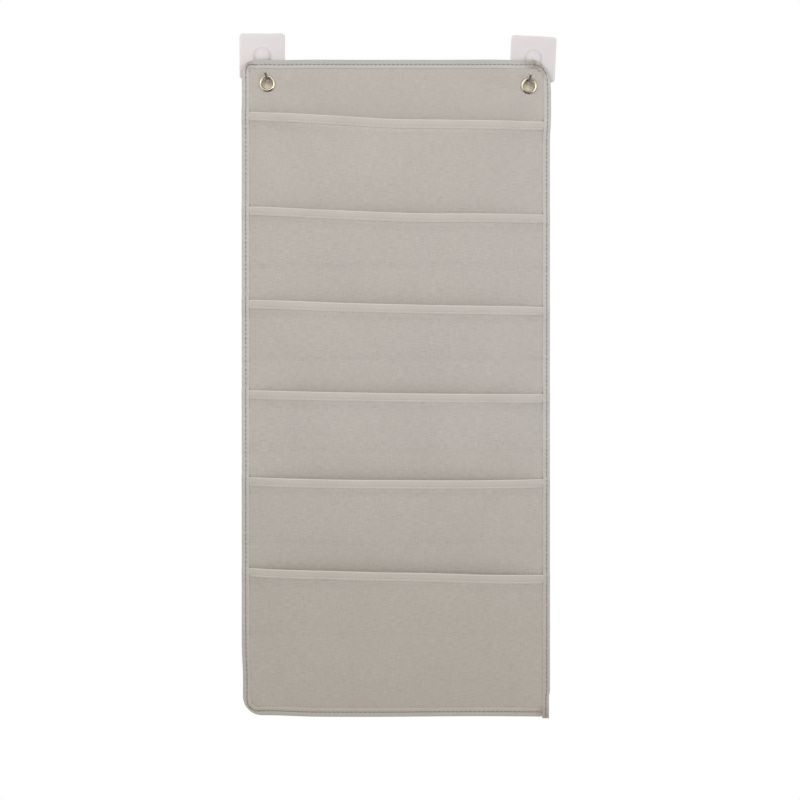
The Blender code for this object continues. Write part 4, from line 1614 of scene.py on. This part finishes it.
@dataclass
class EdgeTape:
    """The one tape folded round the whole edge, and its row of stitches."""

    spacing: float = 0.0017
    corner_spacing: float = 0.0009
    tail: float = 0.0014
    wall_depths: tuple[float, ...] = (0.0090, 0.0088, 0.0082, 0.0073, 0.0063, 0.0053, 0.0050, 0.0046,
                                      0.0042, 0.0039, 0.0033, 0.0025, 0.0018)
    fold_depth: float = 0.0011
    fold_end_deg: float = 72.0
    fold_full_deg: float = 78.0
    fold_steps: int = 8
    wall_level: float = 0.5
    lip_level: float = 0.6
    lip: float = 0.00010
    level_length: float = 0.001
    seam_at: float = 0.0050
    widths: SideShares = SideShares(left=0.955, top=1.12, right=0.88, bottom=1.12)
    seams: SideShares = SideShares(left=0.95, top=1.20, right=0.77, bottom=1.12)
    corner_pinches: Point = (0.42, 0.45, 0.25)
    width_pinch: float = 0.4
    puff: float = 0.00026
    puff_overrun: float = 0.0006
    inner_puff_share: float = 0.5
    groove_reach: float = 0.0007
    groove_depth: float = 0.00022
    thread_sink: float = 0.7
    thin_edge: float = 0.00038
    thin_from: float = 0.0066
    gather_depth: float = 0.0014
    pleats: Point = (2.2, 1.6, 2.6)
    pleat_start: float = 0.6
    pleat_power: float = 1.5
    row: StitchRow = StitchRow(0.0050, 0.0037, rise=0.00024, thread_radius=0.00036, most_turn=0.04)
    tack_row: StitchRow = StitchRow(0.0031, 0.0030, rise=0.00030, thread_radius=0.00036, most_turn=0.3)
    tack_length: float = 0.011
    tack_shift: Point = (0.0002, -0.0001, -0.0003)
    row_seed: int = 5
    tack_seed: int = 8

    def build(self, stitches: StitchForm, finishes: Finishes) -> list[Piece]:
        """Make the tape and its thread.

        Args:
            stitches: The tree that lays the thread.
            finishes: The materials.

        Returns:
            The finished pieces.
        """
        stations = self._stations()
        section = self._section()
        rings = [self._ring(station, section) for station in stations]
        flat = [(depth, level * self.level_length) for depth, level, _ in section]
        shape = Shape()
        shape.loft(rings, [station.along for station in stations], lengths_round(flat))
        tape = shape.to_object("edge_tape")
        dress(tape, finishes.tape)
        thread = self._thread(stations, stitches, finishes)
        hand_over(tape, CLOTH_BODY, "binding_tape", "edge_binding")
        hand_over(thread, CLOTH_BODY, "binding_tape")
        return [tape, thread]

    def _section(self) -> list[Point]:
        """Section as (depth from the outer edge, level, extra forward).

        Level 1 is the front wall's outer face, `wall_level` its inner face, and the same levels with
        a minus are the back wall's faces.
        """
        width, wall, lip = CLOTH.tape_width, self.wall_level, self.lip_level
        walls = [(depth, self._swell(depth)) for depth in self.wall_depths]
        end, full = radians(self.fold_end_deg), sin(radians(self.fold_full_deg))
        section = [(width, wall, 0.0), (width + self.lip, lip, 0.0)]
        section += [(depth, 1.0, extra) for depth, extra in walls]
        section += [(self.fold_depth * (1 - cos(angle)), sin(angle) / full, 0.0)
                    for angle in even_places(end, -end, self.fold_steps)]
        section += [(depth, -1.0, -extra) for depth, extra in reversed(walls)]
        section += [(width + self.lip, -lip, 0.0), (width, -wall, 0.0),
                    (self.fold_depth, -wall, 0.0), (self.fold_depth, wall, 0.0)]
        return section

    def _swell(self, depth: float) -> float:
        """How far a wall's outer face swells out at a depth from the edge, below 0 at the stitches."""
        start, end, puff = self.puff_overrun, self.seam_at, self.puff
        if depth >= self.seam_at:
            start, end = self.seam_at, CLOTH.tape_width + self.puff_overrun
            puff *= self.inner_puff_share
        swell = sin(pi * (depth - start) / (end - start)) * puff
        groove = max(1.0 - abs(depth - self.seam_at) / self.groove_reach, 0.0)
        thin = max((depth - self.thin_from) / (CLOTH.tape_width - self.thin_from), 0.0) ** 2
        return swell - self.groove_depth * groove - self.thin_edge * thin

    def _ring(self, station: TapeStation, section: Sequence[Point]) -> list[Point]:
        """The tape's section at a station, hung with the cloth."""
        inner = CLOTH.tape_level(station.side, station.z)
        outer = inner + CLOTH.tape_thickness
        back_inner = -CLOTH.panel_thickness / 2 - CLOTH.gap
        back_outer = back_inner - CLOTH.tape_thickness
        ring = []
        for depth, level, extra in section:
            local = self._local_depth(station, depth)
            x = station.x + station.inward[0] * local
            z = station.z + station.inward[1] * local
            if abs(level) in (self.wall_level, self.lip_level):
                share = (abs(level) - self.wall_level) / (1.0 - self.wall_level)
                near, far = (inner, outer) if level > 0 else (back_inner, back_outer)
                forward = near + (far - near) * share
            else:
                middle, half = (outer + back_outer) / 2, (outer - back_outer) / 2
                forward = middle + half * level + extra
            if level > 0:
                forward += station.gather * min(depth / CLOTH.tape_width, 1.0)
            ring.append(CLOTH.place(x, z, CLOTH.panel_forward(x, z) + forward))
        return ring

    def _run(self, start: Pair, end: Pair,
             inward: Pair) -> list[Waypoint]:
        """Places along a straight run, its last one left out."""
        run, rise = end[0] - start[0], end[1] - start[1]
        count = max(1, ceil(hypot(run, rise) / self.spacing))
        return [Waypoint(start[0] + run * index / count, start[1] + rise * index / count, inward)
                for index in range(count)]

    def _corner(self, number: int, centre: Pair, radius: float,
                start_deg: float) -> list[Waypoint]:
        """Places round a corner, with the tape's slack gathered in pleats, its last one left out.

        Args:
            number: The corner's number, clockwise from the lower left.
            centre: Centre of the outline's arc.
            radius: Its radius.
            start_deg: Angle where the corner starts; it ends a quarter turn clockwise from there.

        Returns:
            The places.
        """
        count = ceil(pi / 2 * radius / self.corner_spacing)
        places = []
        for index in range(count):
            share = index / count
            angle = radians(start_deg - 90.0 * share)
            out = (cos(angle), sin(angle))
            wave = max(sin(2 * pi * self.pleats[number] * share - self.pleat_start), 0.0)
            gather = self.gather_depth * sin(pi * share) * wave ** self.pleat_power
            pinch = self.corner_pinches[number] * sin(pi * share) ** 2
            places.append(Waypoint(centre[0] + radius * out[0], centre[1] + radius * out[1],
                                   (-out[0], -out[1]), gather, pinch))
        return places

    def _local_depth(self, station: TapeStation, depth: float) -> float:
        """A depth from the outer edge, with the seam and the inner edge at their local places."""
        seam = self.seam_at * station.seam_share
        if depth <= self.seam_at:
            return depth * station.seam_share
        inner = CLOTH.tape_width * station.width_share
        return seam + (inner - seam) * (depth - self.seam_at) / (CLOTH.tape_width - self.seam_at)

    def _stations(self) -> list[TapeStation]:
        """Stations clockwise seen from the front, from the lower right corner."""
        half, top, bottom = CLOTH.half_width, CLOTH.top, CLOTH.bottom
        low, left, right = (CLOTH.bottom_left_radius, CLOTH.top_left_radius, CLOTH.top_right_radius)
        start = (half - CLOTH.tape_width - CLOTH.gap, bottom)
        places = self._run(start, (-half + low, bottom), (0.0, 1.0))
        places += self._corner(0, (-half + low, bottom + low), low, 270.0)
        places += self._run((-half, bottom + low), (-half, top - left), (1.0, 0.0))
        places += self._corner(1, (-half + left, top - left), left, 180.0)
        places += self._run((-half + left, top), (half - right, top), (0.0, -1.0))
        places += self._corner(2, (half - right, top - right), right, 90.0)
        places += self._run((half, top - right), (half, bottom - self.tail), (-1.0, 0.0))
        places.append(Waypoint(half, bottom - self.tail, (-1.0, 0.0)))
        stations = []
        along = 0.0
        for before, spot in zip([places[0], *places], places):
            along += hypot(spot.x - before.x, spot.z - before.z)
            side = Side.LEFT if spot.x < 0 else Side.RIGHT
            width = self.widths.at(spot.inward) * (1.0 - spot.pinch * self.width_pinch)
            seam = self.seams.at(spot.inward) * (1.0 - spot.pinch)
            stations.append(TapeStation(spot.x, spot.z, spot.inward, side, spot.gather, along,
                                        width, seam))
        return stations

    def _thread(self, stations: Sequence[TapeStation], form: StitchForm,
                finishes: Finishes) -> Piece:
        """Sew through both walls of the tape."""
        front, back, tacks = [], [], []
        for station in stations:
            depth = self._local_depth(station, self.seam_at)
            x = station.x + station.inward[0] * depth
            z = station.z + station.inward[1] * depth
            level = CLOTH.tape_level(station.side, station.z) + CLOTH.tape_thickness
            level += station.gather * self.seam_at / CLOTH.tape_width
            level -= self.groove_depth * self.thread_sink
            hind = -CLOTH.panel_thickness / 2 - CLOTH.gap - CLOTH.tape_thickness
            hind += self.groove_depth * self.thread_sink
            forward = CLOTH.panel_forward(x, z)
            front.append((Vector(CLOTH.place(x, z, forward + level)), Vector((0.0, -1.0, 0.0))))
            back.append((Vector(CLOTH.place(x, z, forward + hind)), Vector((0.0, 1.0, 0.0))))
        for middle in self._corner_middles(stations):
            run = [place for station, place in zip(stations, front)
                   if abs(station.along - middle) <= self.tack_length]
            tacks.append([(point + Vector(self.tack_shift), out) for point, out in run])
        thread = self.row.sew(form, "edge_thread", [front[:-1], back[:-1]], finishes.dark_thread,
                              self.row_seed)
        return joined(thread, self.tack_row.sew(form, "tacks", tacks, finishes.dark_thread,
                                                self.tack_seed))

    @staticmethod
    def _corner_middles(stations: Sequence[TapeStation]) -> list[float]:
        """Distance along the tape of the middle of each rounded corner."""
        middles = []
        run: list[float] = []
        for station in stations:
            slanted = station.inward[0] != 0.0 and station.inward[1] != 0.0
            if slanted:
                run.append(station.along)
            elif run:
                middles.append((run[0] + run[-1]) / 2)
                run = []
        return middles


@dataclass
class Eyelet:
    """A turned eyelet and the washer that its barrel is rolled over."""

    side: Side
    radius: float = 0.00935
    hole_radius: float = 0.00595
    sheet: float = 0.00035
    crest: float = 0.0016
    crest_radius: float = 0.00795
    rim: float = 0.0005
    rim_in: float = 0.00005
    rim_up: float = 0.00010
    slope_in: float = 0.00025
    slope_down: float = 0.00016
    slope_shares: tuple[float, ...] = (0.35, 0.70, 1.0)
    throat: float = -0.0008
    roll_radius: float = 0.0009
    washer_radius: float = 0.0089
    washer_thickness: float = 0.0005
    steps: int = 96

    @property
    def place(self) -> Point:
        """Its centre on the panel's middle surface."""
        x, z = CLOTH.eyelets[self.side.index]
        return x, -CLOTH.hang_forward, z

    def _profile(self) -> list[Pair]:
        """Sheet section: a domed flange, the barrel and the roll behind the washer."""
        front = CLOTH.panel_thickness / 2 + CLOTH.gap
        back = -(front + self.washer_thickness + CLOTH.gap)
        top = front + self.crest
        rim, throat = (self.crest_radius, front), (self.crest_radius, self.throat)
        reach = self.radius - self.crest_radius
        fall = self.crest_radius - self.hole_radius
        roll = (self.hole_radius + self.roll_radius, back)
        thin, inner = self.sheet, self.roll_radius - self.sheet
        run, rise = reach - self.slope_in, self.crest - self.rim - self.slope_down
        profile = [(self.radius, front), (self.radius, front + self.rim)]
        profile += [(self.radius - self.rim_in - run * share,
                     front + self.rim + self.rim_up + rise * share)
                    for share in (0.0, *self.slope_shares)]
        profile.append((self.crest_radius, top))
        profile += ellipse_arc(throat, fall, top - self.throat, 90.0, 180.0, 14)[1:]
        profile += ellipse_arc(roll, self.roll_radius, self.roll_radius, 180.0, 360.0, 12)
        profile += ellipse_arc(roll, inner, inner, 360.0, 180.0, 8)
        profile += ellipse_arc(throat, fall - thin, top - thin - self.throat, 180.0, 90.0, 12)
        profile += ellipse_arc(rim, reach - thin, self.crest - thin, 90.0, 0.0, 8)[1:]
        return profile

    def _washer_profile(self) -> list[Pair]:
        """Section of the washer, its outer rim rounded."""
        front = -(CLOTH.panel_thickness / 2 + CLOTH.gap)
        back = front - self.washer_thickness
        hole = self.hole_radius + self.sheet + CLOTH.gap
        rim = self.washer_thickness / 2
        rounding = ellipse_arc((self.washer_radius - rim, front - rim), rim, rim, 90.0, -90.0, 8)
        return [(hole, front), *rounding, (hole, back)]

    def build(self, finishes: Finishes) -> list[Piece]:
        """Make both metal parts.

        Args:
            finishes: The materials.

        Returns:
            The finished pieces.
        """
        pieces = []
        for title, node, profile in (("grommet_", "eyelet_", self._profile()),
                                     ("grommet_ring_", "eyelet_washer_", self._washer_profile())):
            item = turned(title + self.side.label, profile, self.steps)
            item.data.transform(Matrix.Translation(self.place))
            dress(item, finishes.eyelet)
            pieces.append(hand_over(item, CLOTH_BODY, "eyelet_metal", node + self.side.label))
        return pieces


# the wall hooks


@dataclass
class WallHook:
    """An adhesive hook: clear plate with a hollow dome, a pin, and one bent wire."""

    side: Side
    pad_thickness: float = 0.0008
    plate_side: float = 0.052
    plate_thickness: float = 0.0016
    corner_radius: float = 0.0040
    edge_round: float = 0.0005
    right_turn_deg: float = 3.0
    dome_radius: float = 0.010
    dome_height: float = 0.0056
    foot_width: float = 0.0026
    foot_height: float = 0.0008
    wire_radius: float = 0.0016
    eye_radius: float = 0.0040
    eye_bend: float = 0.0030
    eye_end_deg: float = 228.0
    reach: float = 0.0290
    bend_radius: float = 0.0060
    opening_deg: float = 135.0
    tip_length: float = 0.0085
    lean_deg: float = 11.0
    level_difference: float = 0.0024
    shifts_out: Pair = (0.0012, 0.0)
    shifts_up: Pair = (0.0014, 0.0009)
    gap: float = 0.0003
    tool_overrun: float = 0.002
    pin_edge: float = 0.0002
    steps: int = 96
    pin_steps: int = 64
    corner_steps: int = 12
    edge_segments: int = 4
    edge_limit_deg: float = 60.0
    foot_steps: int = 6
    dome_steps: int = 16
    dome_start: float = 0.02
    plate_sharp_deg: float = 34.0
    wire_step_deg: float = 6.0
    wire_sharp_deg: float = 60.0
    wire_section_steps: int = 8
    tip_round_deg: float = 84.0
    tip_steps: int = 8

    @property
    def plate_back(self) -> float:
        """Back face of the plate, forward of the wall."""
        return self.pad_thickness + self.gap

    @property
    def plate_front(self) -> float:
        """Front face of the plate, forward of the wall."""
        return self.plate_back + self.plate_thickness

    @property
    def wire_forward(self) -> float:
        """Middle of the wire's leg, forward of the wall."""
        return self.plate_front + self.gap + self.wire_radius

    @property
    def cavity_radius(self) -> float:
        """Radius of the room for the wire's eye."""
        return self.eye_radius + self.wire_radius + self.gap

    @property
    def cavity_front(self) -> float:
        """How far forward that room reaches."""
        return self.wire_forward + self.wire_radius + self.gap

    @property
    def span_out(self) -> float:
        """How far outside its eyelet's middle the dome sits."""
        return self.reach * tan(radians(self.lean_deg)) + self.shifts_out[self.side.index]

    @property
    def span_up(self) -> float:
        """How far above the wire's turn the dome sits."""
        return self.reach + self.shifts_up[self.side.index]

    @property
    def lean(self) -> float:
        """The wire's lean about the wall's normal, in radians."""
        return self.side.value * atan2(self.span_out, self.span_up)

    @property
    def turn(self) -> float:
        """The plate's own turn on the wall, in radians."""
        return radians(self.right_turn_deg) if self.side is Side.RIGHT else 0.0

    def frame(self, turn: float) -> Matrix:
        """Place of the dome's centre on the wall, with a turn about the wall's normal."""
        x = CLOTH.eyelets[self.side.index][0] + self.side.value * self.span_out
        z = self.shifts_up[self.side.index] - self.side.value * self.level_difference / 2
        return Matrix.Translation((x, 0.0, z)) @ Matrix.Rotation(turn, 4, "Y")

    def build(self, finishes: Finishes) -> list[Piece]:
        """Make the plate, the pin and the wire, and dress the pad.

        Args:
            finishes: The materials.

        Returns:
            The finished pieces.
        """
        label = self.side.label
        plate, pin, wire = self._plate(), self._pin(), self._wire()
        dress(plate, finishes.plastic)
        dress(pin, finishes.plastic)
        dress(wire, finishes.steel)
        hand_over(plate, WALL_BODY, "hook_plastic", "hook_plate_" + label)
        hand_over(pin, WALL_BODY, "hook_plastic", "hook_retainer_" + label)
        hand_over(wire, WALL_BODY, "hook_steel", "hook_wire_" + label)
        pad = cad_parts["adhesive_pad_" + label]
        for slot in pad.material_slots:
            slot.material = finishes.pad
        return [plate, pin, wire]

    def _slab(self, name: str) -> Piece:
        """The plate's square slab with rounded corners."""
        shape = bmesh.new()
        outline = []
        reach = self.plate_side / 2 - self.corner_radius
        for corner in range(4):
            centre_x = reach if corner in (0, 3) else -reach
            centre_z = reach if corner in (0, 1) else -reach
            for angle in even_places(corner * pi / 2, (corner + 1) * pi / 2, self.corner_steps):
                outline.append(shape.verts.new((centre_x + self.corner_radius * cos(angle),
                                                -self.plate_back,
                                                centre_z + self.corner_radius * sin(angle))))
        face = shape.faces.new(outline)
        result = bmesh.ops.extrude_face_region(shape, geom=[face])
        moved = [part for part in result["geom"] if isinstance(part, bmesh.types.BMVert)]
        bmesh.ops.translate(shape, verts=moved, vec=(0.0, -self.plate_thickness, 0.0))
        slab = baked(name, shape)
        rounding = slab.modifiers.new("edge", "BEVEL")
        rounding.width = self.edge_round
        rounding.segments = self.edge_segments
        rounding.limit_method = "ANGLE"
        rounding.angle_limit = radians(self.edge_limit_deg)
        return slab

    def _plate(self) -> Piece:
        """Slab, dome with a soft foot, room for the wire's eye, and slot."""
        plate = self._slab("hook_base_" + self.side.label)
        sunk = self.plate_back + self.plate_thickness / 2
        foot, front, height = self.dome_radius + self.foot_width, self.plate_front, self.dome_height
        start = asin(self.foot_height / height) + self.dome_start
        dome = [(0.0, sunk), (foot, sunk), (foot, front)]
        dome += [(foot + self.foot_width * cos(angle), front + self.foot_height * (1.0 + sin(angle)))
                 for angle in even_places(-pi / 2, -pi, self.foot_steps)[1:]]
        dome += [(self.dome_radius * cos(angle), front + height * sin(angle))
                 for angle in even_places(start, pi / 2, self.dome_steps)[:-1]]
        dome.append((0.0, front + height))
        back = self.plate_back - self.tool_overrun
        room = [(0.0, back), (self.cavity_radius, back), (self.cavity_radius, self.cavity_front),
                (0.0, self.cavity_front)]
        tools = [(turned("dome", dome, self.steps, closed=False), "UNION"),
                 (turned("room", room, self.steps, closed=False), "DIFFERENCE"),
                 (self._slot(), "DIFFERENCE")]
        for tool, operation in tools:
            combine(plate, tool, operation)
        plate = settle(plate, self.plate_sharp_deg)
        for tool, _ in tools:
            bpy.data.objects.remove(tool)
        plate.data.transform(self.frame(self.turn))
        return plate

    def _slot(self) -> Piece:
        """Cutter for the slot in the dome's lower wall, in line with the leaning wire."""
        half = self.wire_radius + self.gap
        back = -(self.plate_front - self.gap / 2)
        front = -self.cavity_front
        high = -self.eye_radius / 2
        low = -(self.dome_radius + self.tool_overrun)
        corners = [(x, y, z) for x in (-half, half) for y in (front, back) for z in (low, high)]
        shape = bmesh.new()
        points = [shape.verts.new(corner) for corner in corners]
        bmesh.ops.convex_hull(shape, input=points)
        slot = baked("slot", shape)
        slot.data.transform(Matrix.Rotation(self.lean - self.turn, 4, "Y"))
        return slot

    def _pin(self) -> Piece:
        """The pin through the wire's eye, with its flat head behind."""
        pin = self.eye_radius - self.wire_radius - self.gap
        head = self.cavity_radius - self.gap
        tip = self.cavity_front - self.gap
        soft = self.pin_edge
        profile = [(0.0, self.plate_back), (head - soft, self.plate_back),
                   (head, self.plate_back + soft), (head, self.plate_front - soft),
                   (head - soft, self.plate_front), (pin, self.plate_front), (pin, tip - soft),
                   (pin - soft, tip), (0.0, tip)]
        item = turned("hook_pin_" + self.side.label, profile, self.pin_steps, closed=False)
        item.data.transform(self.frame(0.0))
        return item

    def _route(self) -> tuple[list[Vector], list[float]]:
        """Centre line of the wire before it leans, and its thickness shares."""
        step = self.wire_step_deg
        span = self.eye_radius + self.eye_bend
        drop = sqrt(span * span - self.eye_bend * self.eye_bend)
        join = atan2(-drop, self.eye_bend) * 180.0 / pi
        eye = ellipse_arc((0.0, 0.0), self.eye_radius, self.eye_radius, self.eye_end_deg, join,
                          ceil(abs(join - self.eye_end_deg) / step))
        bend = ellipse_arc((self.eye_bend, -drop), self.eye_bend, self.eye_bend, join + 180.0, 180.0,
                           ceil(abs(join) / step))
        route = [Vector((x, -self.wire_forward, z)) for x, z in eye + bend[1:]]
        valley = hypot(self.span_out, self.span_up)
        centre = (self.wire_forward + self.bend_radius, -valley + self.bend_radius)
        hook = ellipse_arc(centre, self.bend_radius, self.bend_radius, 180.0, 180.0 + self.opening_deg,
                           ceil(self.opening_deg / step))
        route += [Vector((0.0, -forward, z)) for forward, z in hook]
        rise = radians(self.opening_deg - 90.0)
        onward = Vector((0.0, -cos(rise), sin(rise)))
        end = route[-1].copy()
        shares = [1.0] * len(route)
        for angle in even_places(0.0, radians(self.tip_round_deg), self.tip_steps):
            route.append(end + onward * (self.tip_length - self.wire_radius * (1 - sin(angle))))
            shares.append(cos(angle))
        return route, shares

    def _wire(self) -> Piece:
        """One bent steel wire, turned by its lean about the pin."""
        data = bpy.data.curves.new("wire", "CURVE")
        data.dimensions = "3D"
        data.bevel_depth = self.wire_radius
        data.bevel_resolution = self.wire_section_steps
        data.use_fill_caps = True
        route, shares = self._route()
        spline = data.splines.new("POLY")
        spline.points.add(len(route) - 1)
        for point, place, share in zip(spline.points, route, shares):
            point.co = (*place, 1.0)
            point.radius = share
        wire = settle(link("wire_hook_" + self.side.label, data), self.wire_sharp_deg)
        wire.data.transform(self.frame(self.lean))
        return wire


# the studio


@dataclass(frozen=True)
class Lamp:
    """A square soft lamp."""

    name: str
    place: Point
    size: float
    watts: float
    colour: Colour = (1.0, 1.0, 1.0)

    def hang(self, target: Point) -> None:
        """Put the lamp up, turned to a point."""
        data = bpy.data.lights.new(self.name, "AREA")
        data.shape = "SQUARE"
        data.size = self.size
        data.energy = self.watts
        data.color = self.colour
        lamp = link(self.name, data)
        lamp.location = self.place
        aim = Vector(target) - Vector(self.place)
        lamp.rotation_euler = aim.to_track_quat("-Z", "Y").to_euler()


@dataclass
class Studio:
    """Camera, lamps, white surroundings and a pale floor."""

    lamps: tuple[Lamp, ...] = (Lamp("key", (-1.1, -2.0, 1.0), 1.8, 29.5, (1.0, 0.980, 0.945)),
                               Lamp("fill", (1.5, -1.9, -0.2), 1.8, 20.5, (0.87, 0.955, 1.0)),
                               Lamp("back", (0.4, 1.8, 0.6), 1.4, 8.0))
    camera_x: float = 0.0051
    camera_z: float = -0.3916
    camera_distance: float = 1.2106
    lens: float = 47.43
    world_light: float = 0.50
    floor_y: float = -0.15
    floor_z: float = -1.02
    floor_radius: float = 0.58
    floor_fade: Pair = (0.45, 0.98)
    floor_colour: Colour = (0.86, 0.86, 0.86)
    patch_radius: float = 0.0063
    patch_y: float = -0.0030
    patch_colour: Colour = (0.97, 0.88, 0.72)
    card_colour: Colour = (0.05, 0.045, 0.04)
    card_radius: float = 0.90
    card_gap: float = 0.06
    card_z: float = -0.62

    def build(self) -> None:
        """Set up everything that isn't part of the organizer."""
        self._camera()
        self._world()
        self._floor()
        self._patches()
        self._card()
        for lamp in self.lamps:
            lamp.hang((0.0, 0.0, self.camera_z))
        bpy.context.scene.view_settings.view_transform = "Standard"

    def _camera(self) -> None:
        """Look straight at the cloth."""
        data = bpy.data.cameras.new("camera")
        data.sensor_width = 36.0
        data.lens = self.lens
        data.clip_start = 0.01
        camera = link("camera", data)
        camera.location = (self.camera_x, -self.camera_distance, self.camera_z)
        camera.rotation_euler = (pi / 2, 0.0, 0.0)
        bpy.context.scene.camera = camera

    def _world(self) -> None:
        """White to the camera, to gloss and through plastic; softer as a light."""
        world = bpy.data.worlds.new("studio")
        world.use_nodes = True
        bpy.context.scene.world = world
        graph = Graph(world.node_tree)
        rays = graph.node("ShaderNodeLightPath")
        seen = most(most(graph.out(rays, "Is Camera Ray"), graph.out(rays, "Is Glossy Ray")),
                    graph.out(rays, "Is Transmission Ray"))
        background = world.node_tree.nodes["Background"]
        background.inputs["Color"].default_value = (1.0, 1.0, 1.0, 1.0)
        graph.put(background.inputs["Strength"], self.world_light + seen * (1.0 - self.world_light))

    @staticmethod
    def _disc(name: str, radius: float, place: Matrix, surface: Surface) -> Piece:
        """A flat round piece of the backdrop, whose front is +Z before it is placed."""
        shape = bmesh.new()
        bmesh.ops.create_circle(shape, cap_ends=True, segments=DISC_STEPS, radius=radius)
        disc = baked(name, shape)
        if disc.data.polygons[0].normal.z < 0.0:
            disc.data.flip_normals()
        disc.data.transform(place)
        dress(disc, surface.material)
        return disc

    def _floor(self) -> None:
        """A pale round floor that fades out at its rim."""
        surface = Surface("pale_floor")
        x, y, _ = surface.split(surface.object_place())
        away = root(x * x + (y - self.floor_y) * (y - self.floor_y))
        start, end = (share * self.floor_radius for share in self.floor_fade)
        surface.set(Base_Color=surface.grained(self.floor_colour, scale=30.0, swing=0.02),
                    Roughness=0.7, Alpha=1.0 - ease(ramp(away, start, end)))
        place = Matrix.Translation((0.0, self.floor_y, self.floor_z))
        self._disc("floor", self.floor_radius, place, surface)

    def _patches(self) -> None:
        """The bit of wall that the camera sees through each eyelet, one-sided."""
        eye = Vector((self.camera_x, -self.camera_distance, self.camera_z))
        surface = Surface("wall_patch")
        behind = surface.out(surface.node("ShaderNodeNewGeometry"), "Backfacing")
        surface.set(Base_Color=surface.grained(self.patch_colour, scale=300.0, swing=0.06),
                    Roughness=0.9, Alpha=1.0 - behind)
        for side, (x, z) in zip(Side, CLOTH.eyelets):
            hole = Vector((x, -CLOTH.hang_forward, z))
            middle = eye.lerp(hole, (self.patch_y - eye.y) / (hole.y - eye.y))
            place = Matrix.Translation(middle) @ Matrix.Rotation(pi / 2, 4, "X")
            self._disc("wall_patch_" + side.label, self.patch_radius, place, surface)

    def _card(self) -> None:
        """A dark card low in front that only shiny surfaces see, so that metal shows its form."""
        surface = Surface("dark_card")
        surface.set(Base_Color=surface.grained(self.card_colour, scale=20.0, swing=0.2), Roughness=0.9)
        place = Matrix.Translation((0.0, -self.card_radius - self.card_gap, self.card_z))
        card = self._disc("card", self.card_radius, place, surface)
        card.visible_camera = False
        card.visible_diffuse = False
        card.visible_transmission = False
        card.visible_volume_scatter = False
        card.visible_shadow = False


# everything in order


def main() -> None:
    """Build the studio and every piece."""
    logging.basicConfig(level=logging.INFO, format="%(message)s")
    Studio().build()
    finishes = Finishes()
    stitches = StitchForm()
    panel = BackPanel().build(finishes)
    pocket_form = PocketForm()
    for index in reversed(range(CLOTH.pocket_count)):
        SheerPocket(index).build(pocket_form, stitches, finishes, panel)
    edging = EdgeTape().build(stitches, finishes)
    wires, metal = [], []
    for side in Side:
        metal += Eyelet(side).build(finishes)
        wires.append(WallHook(side).build(finishes)[-1])


if __name__ == "__main__":
    main()
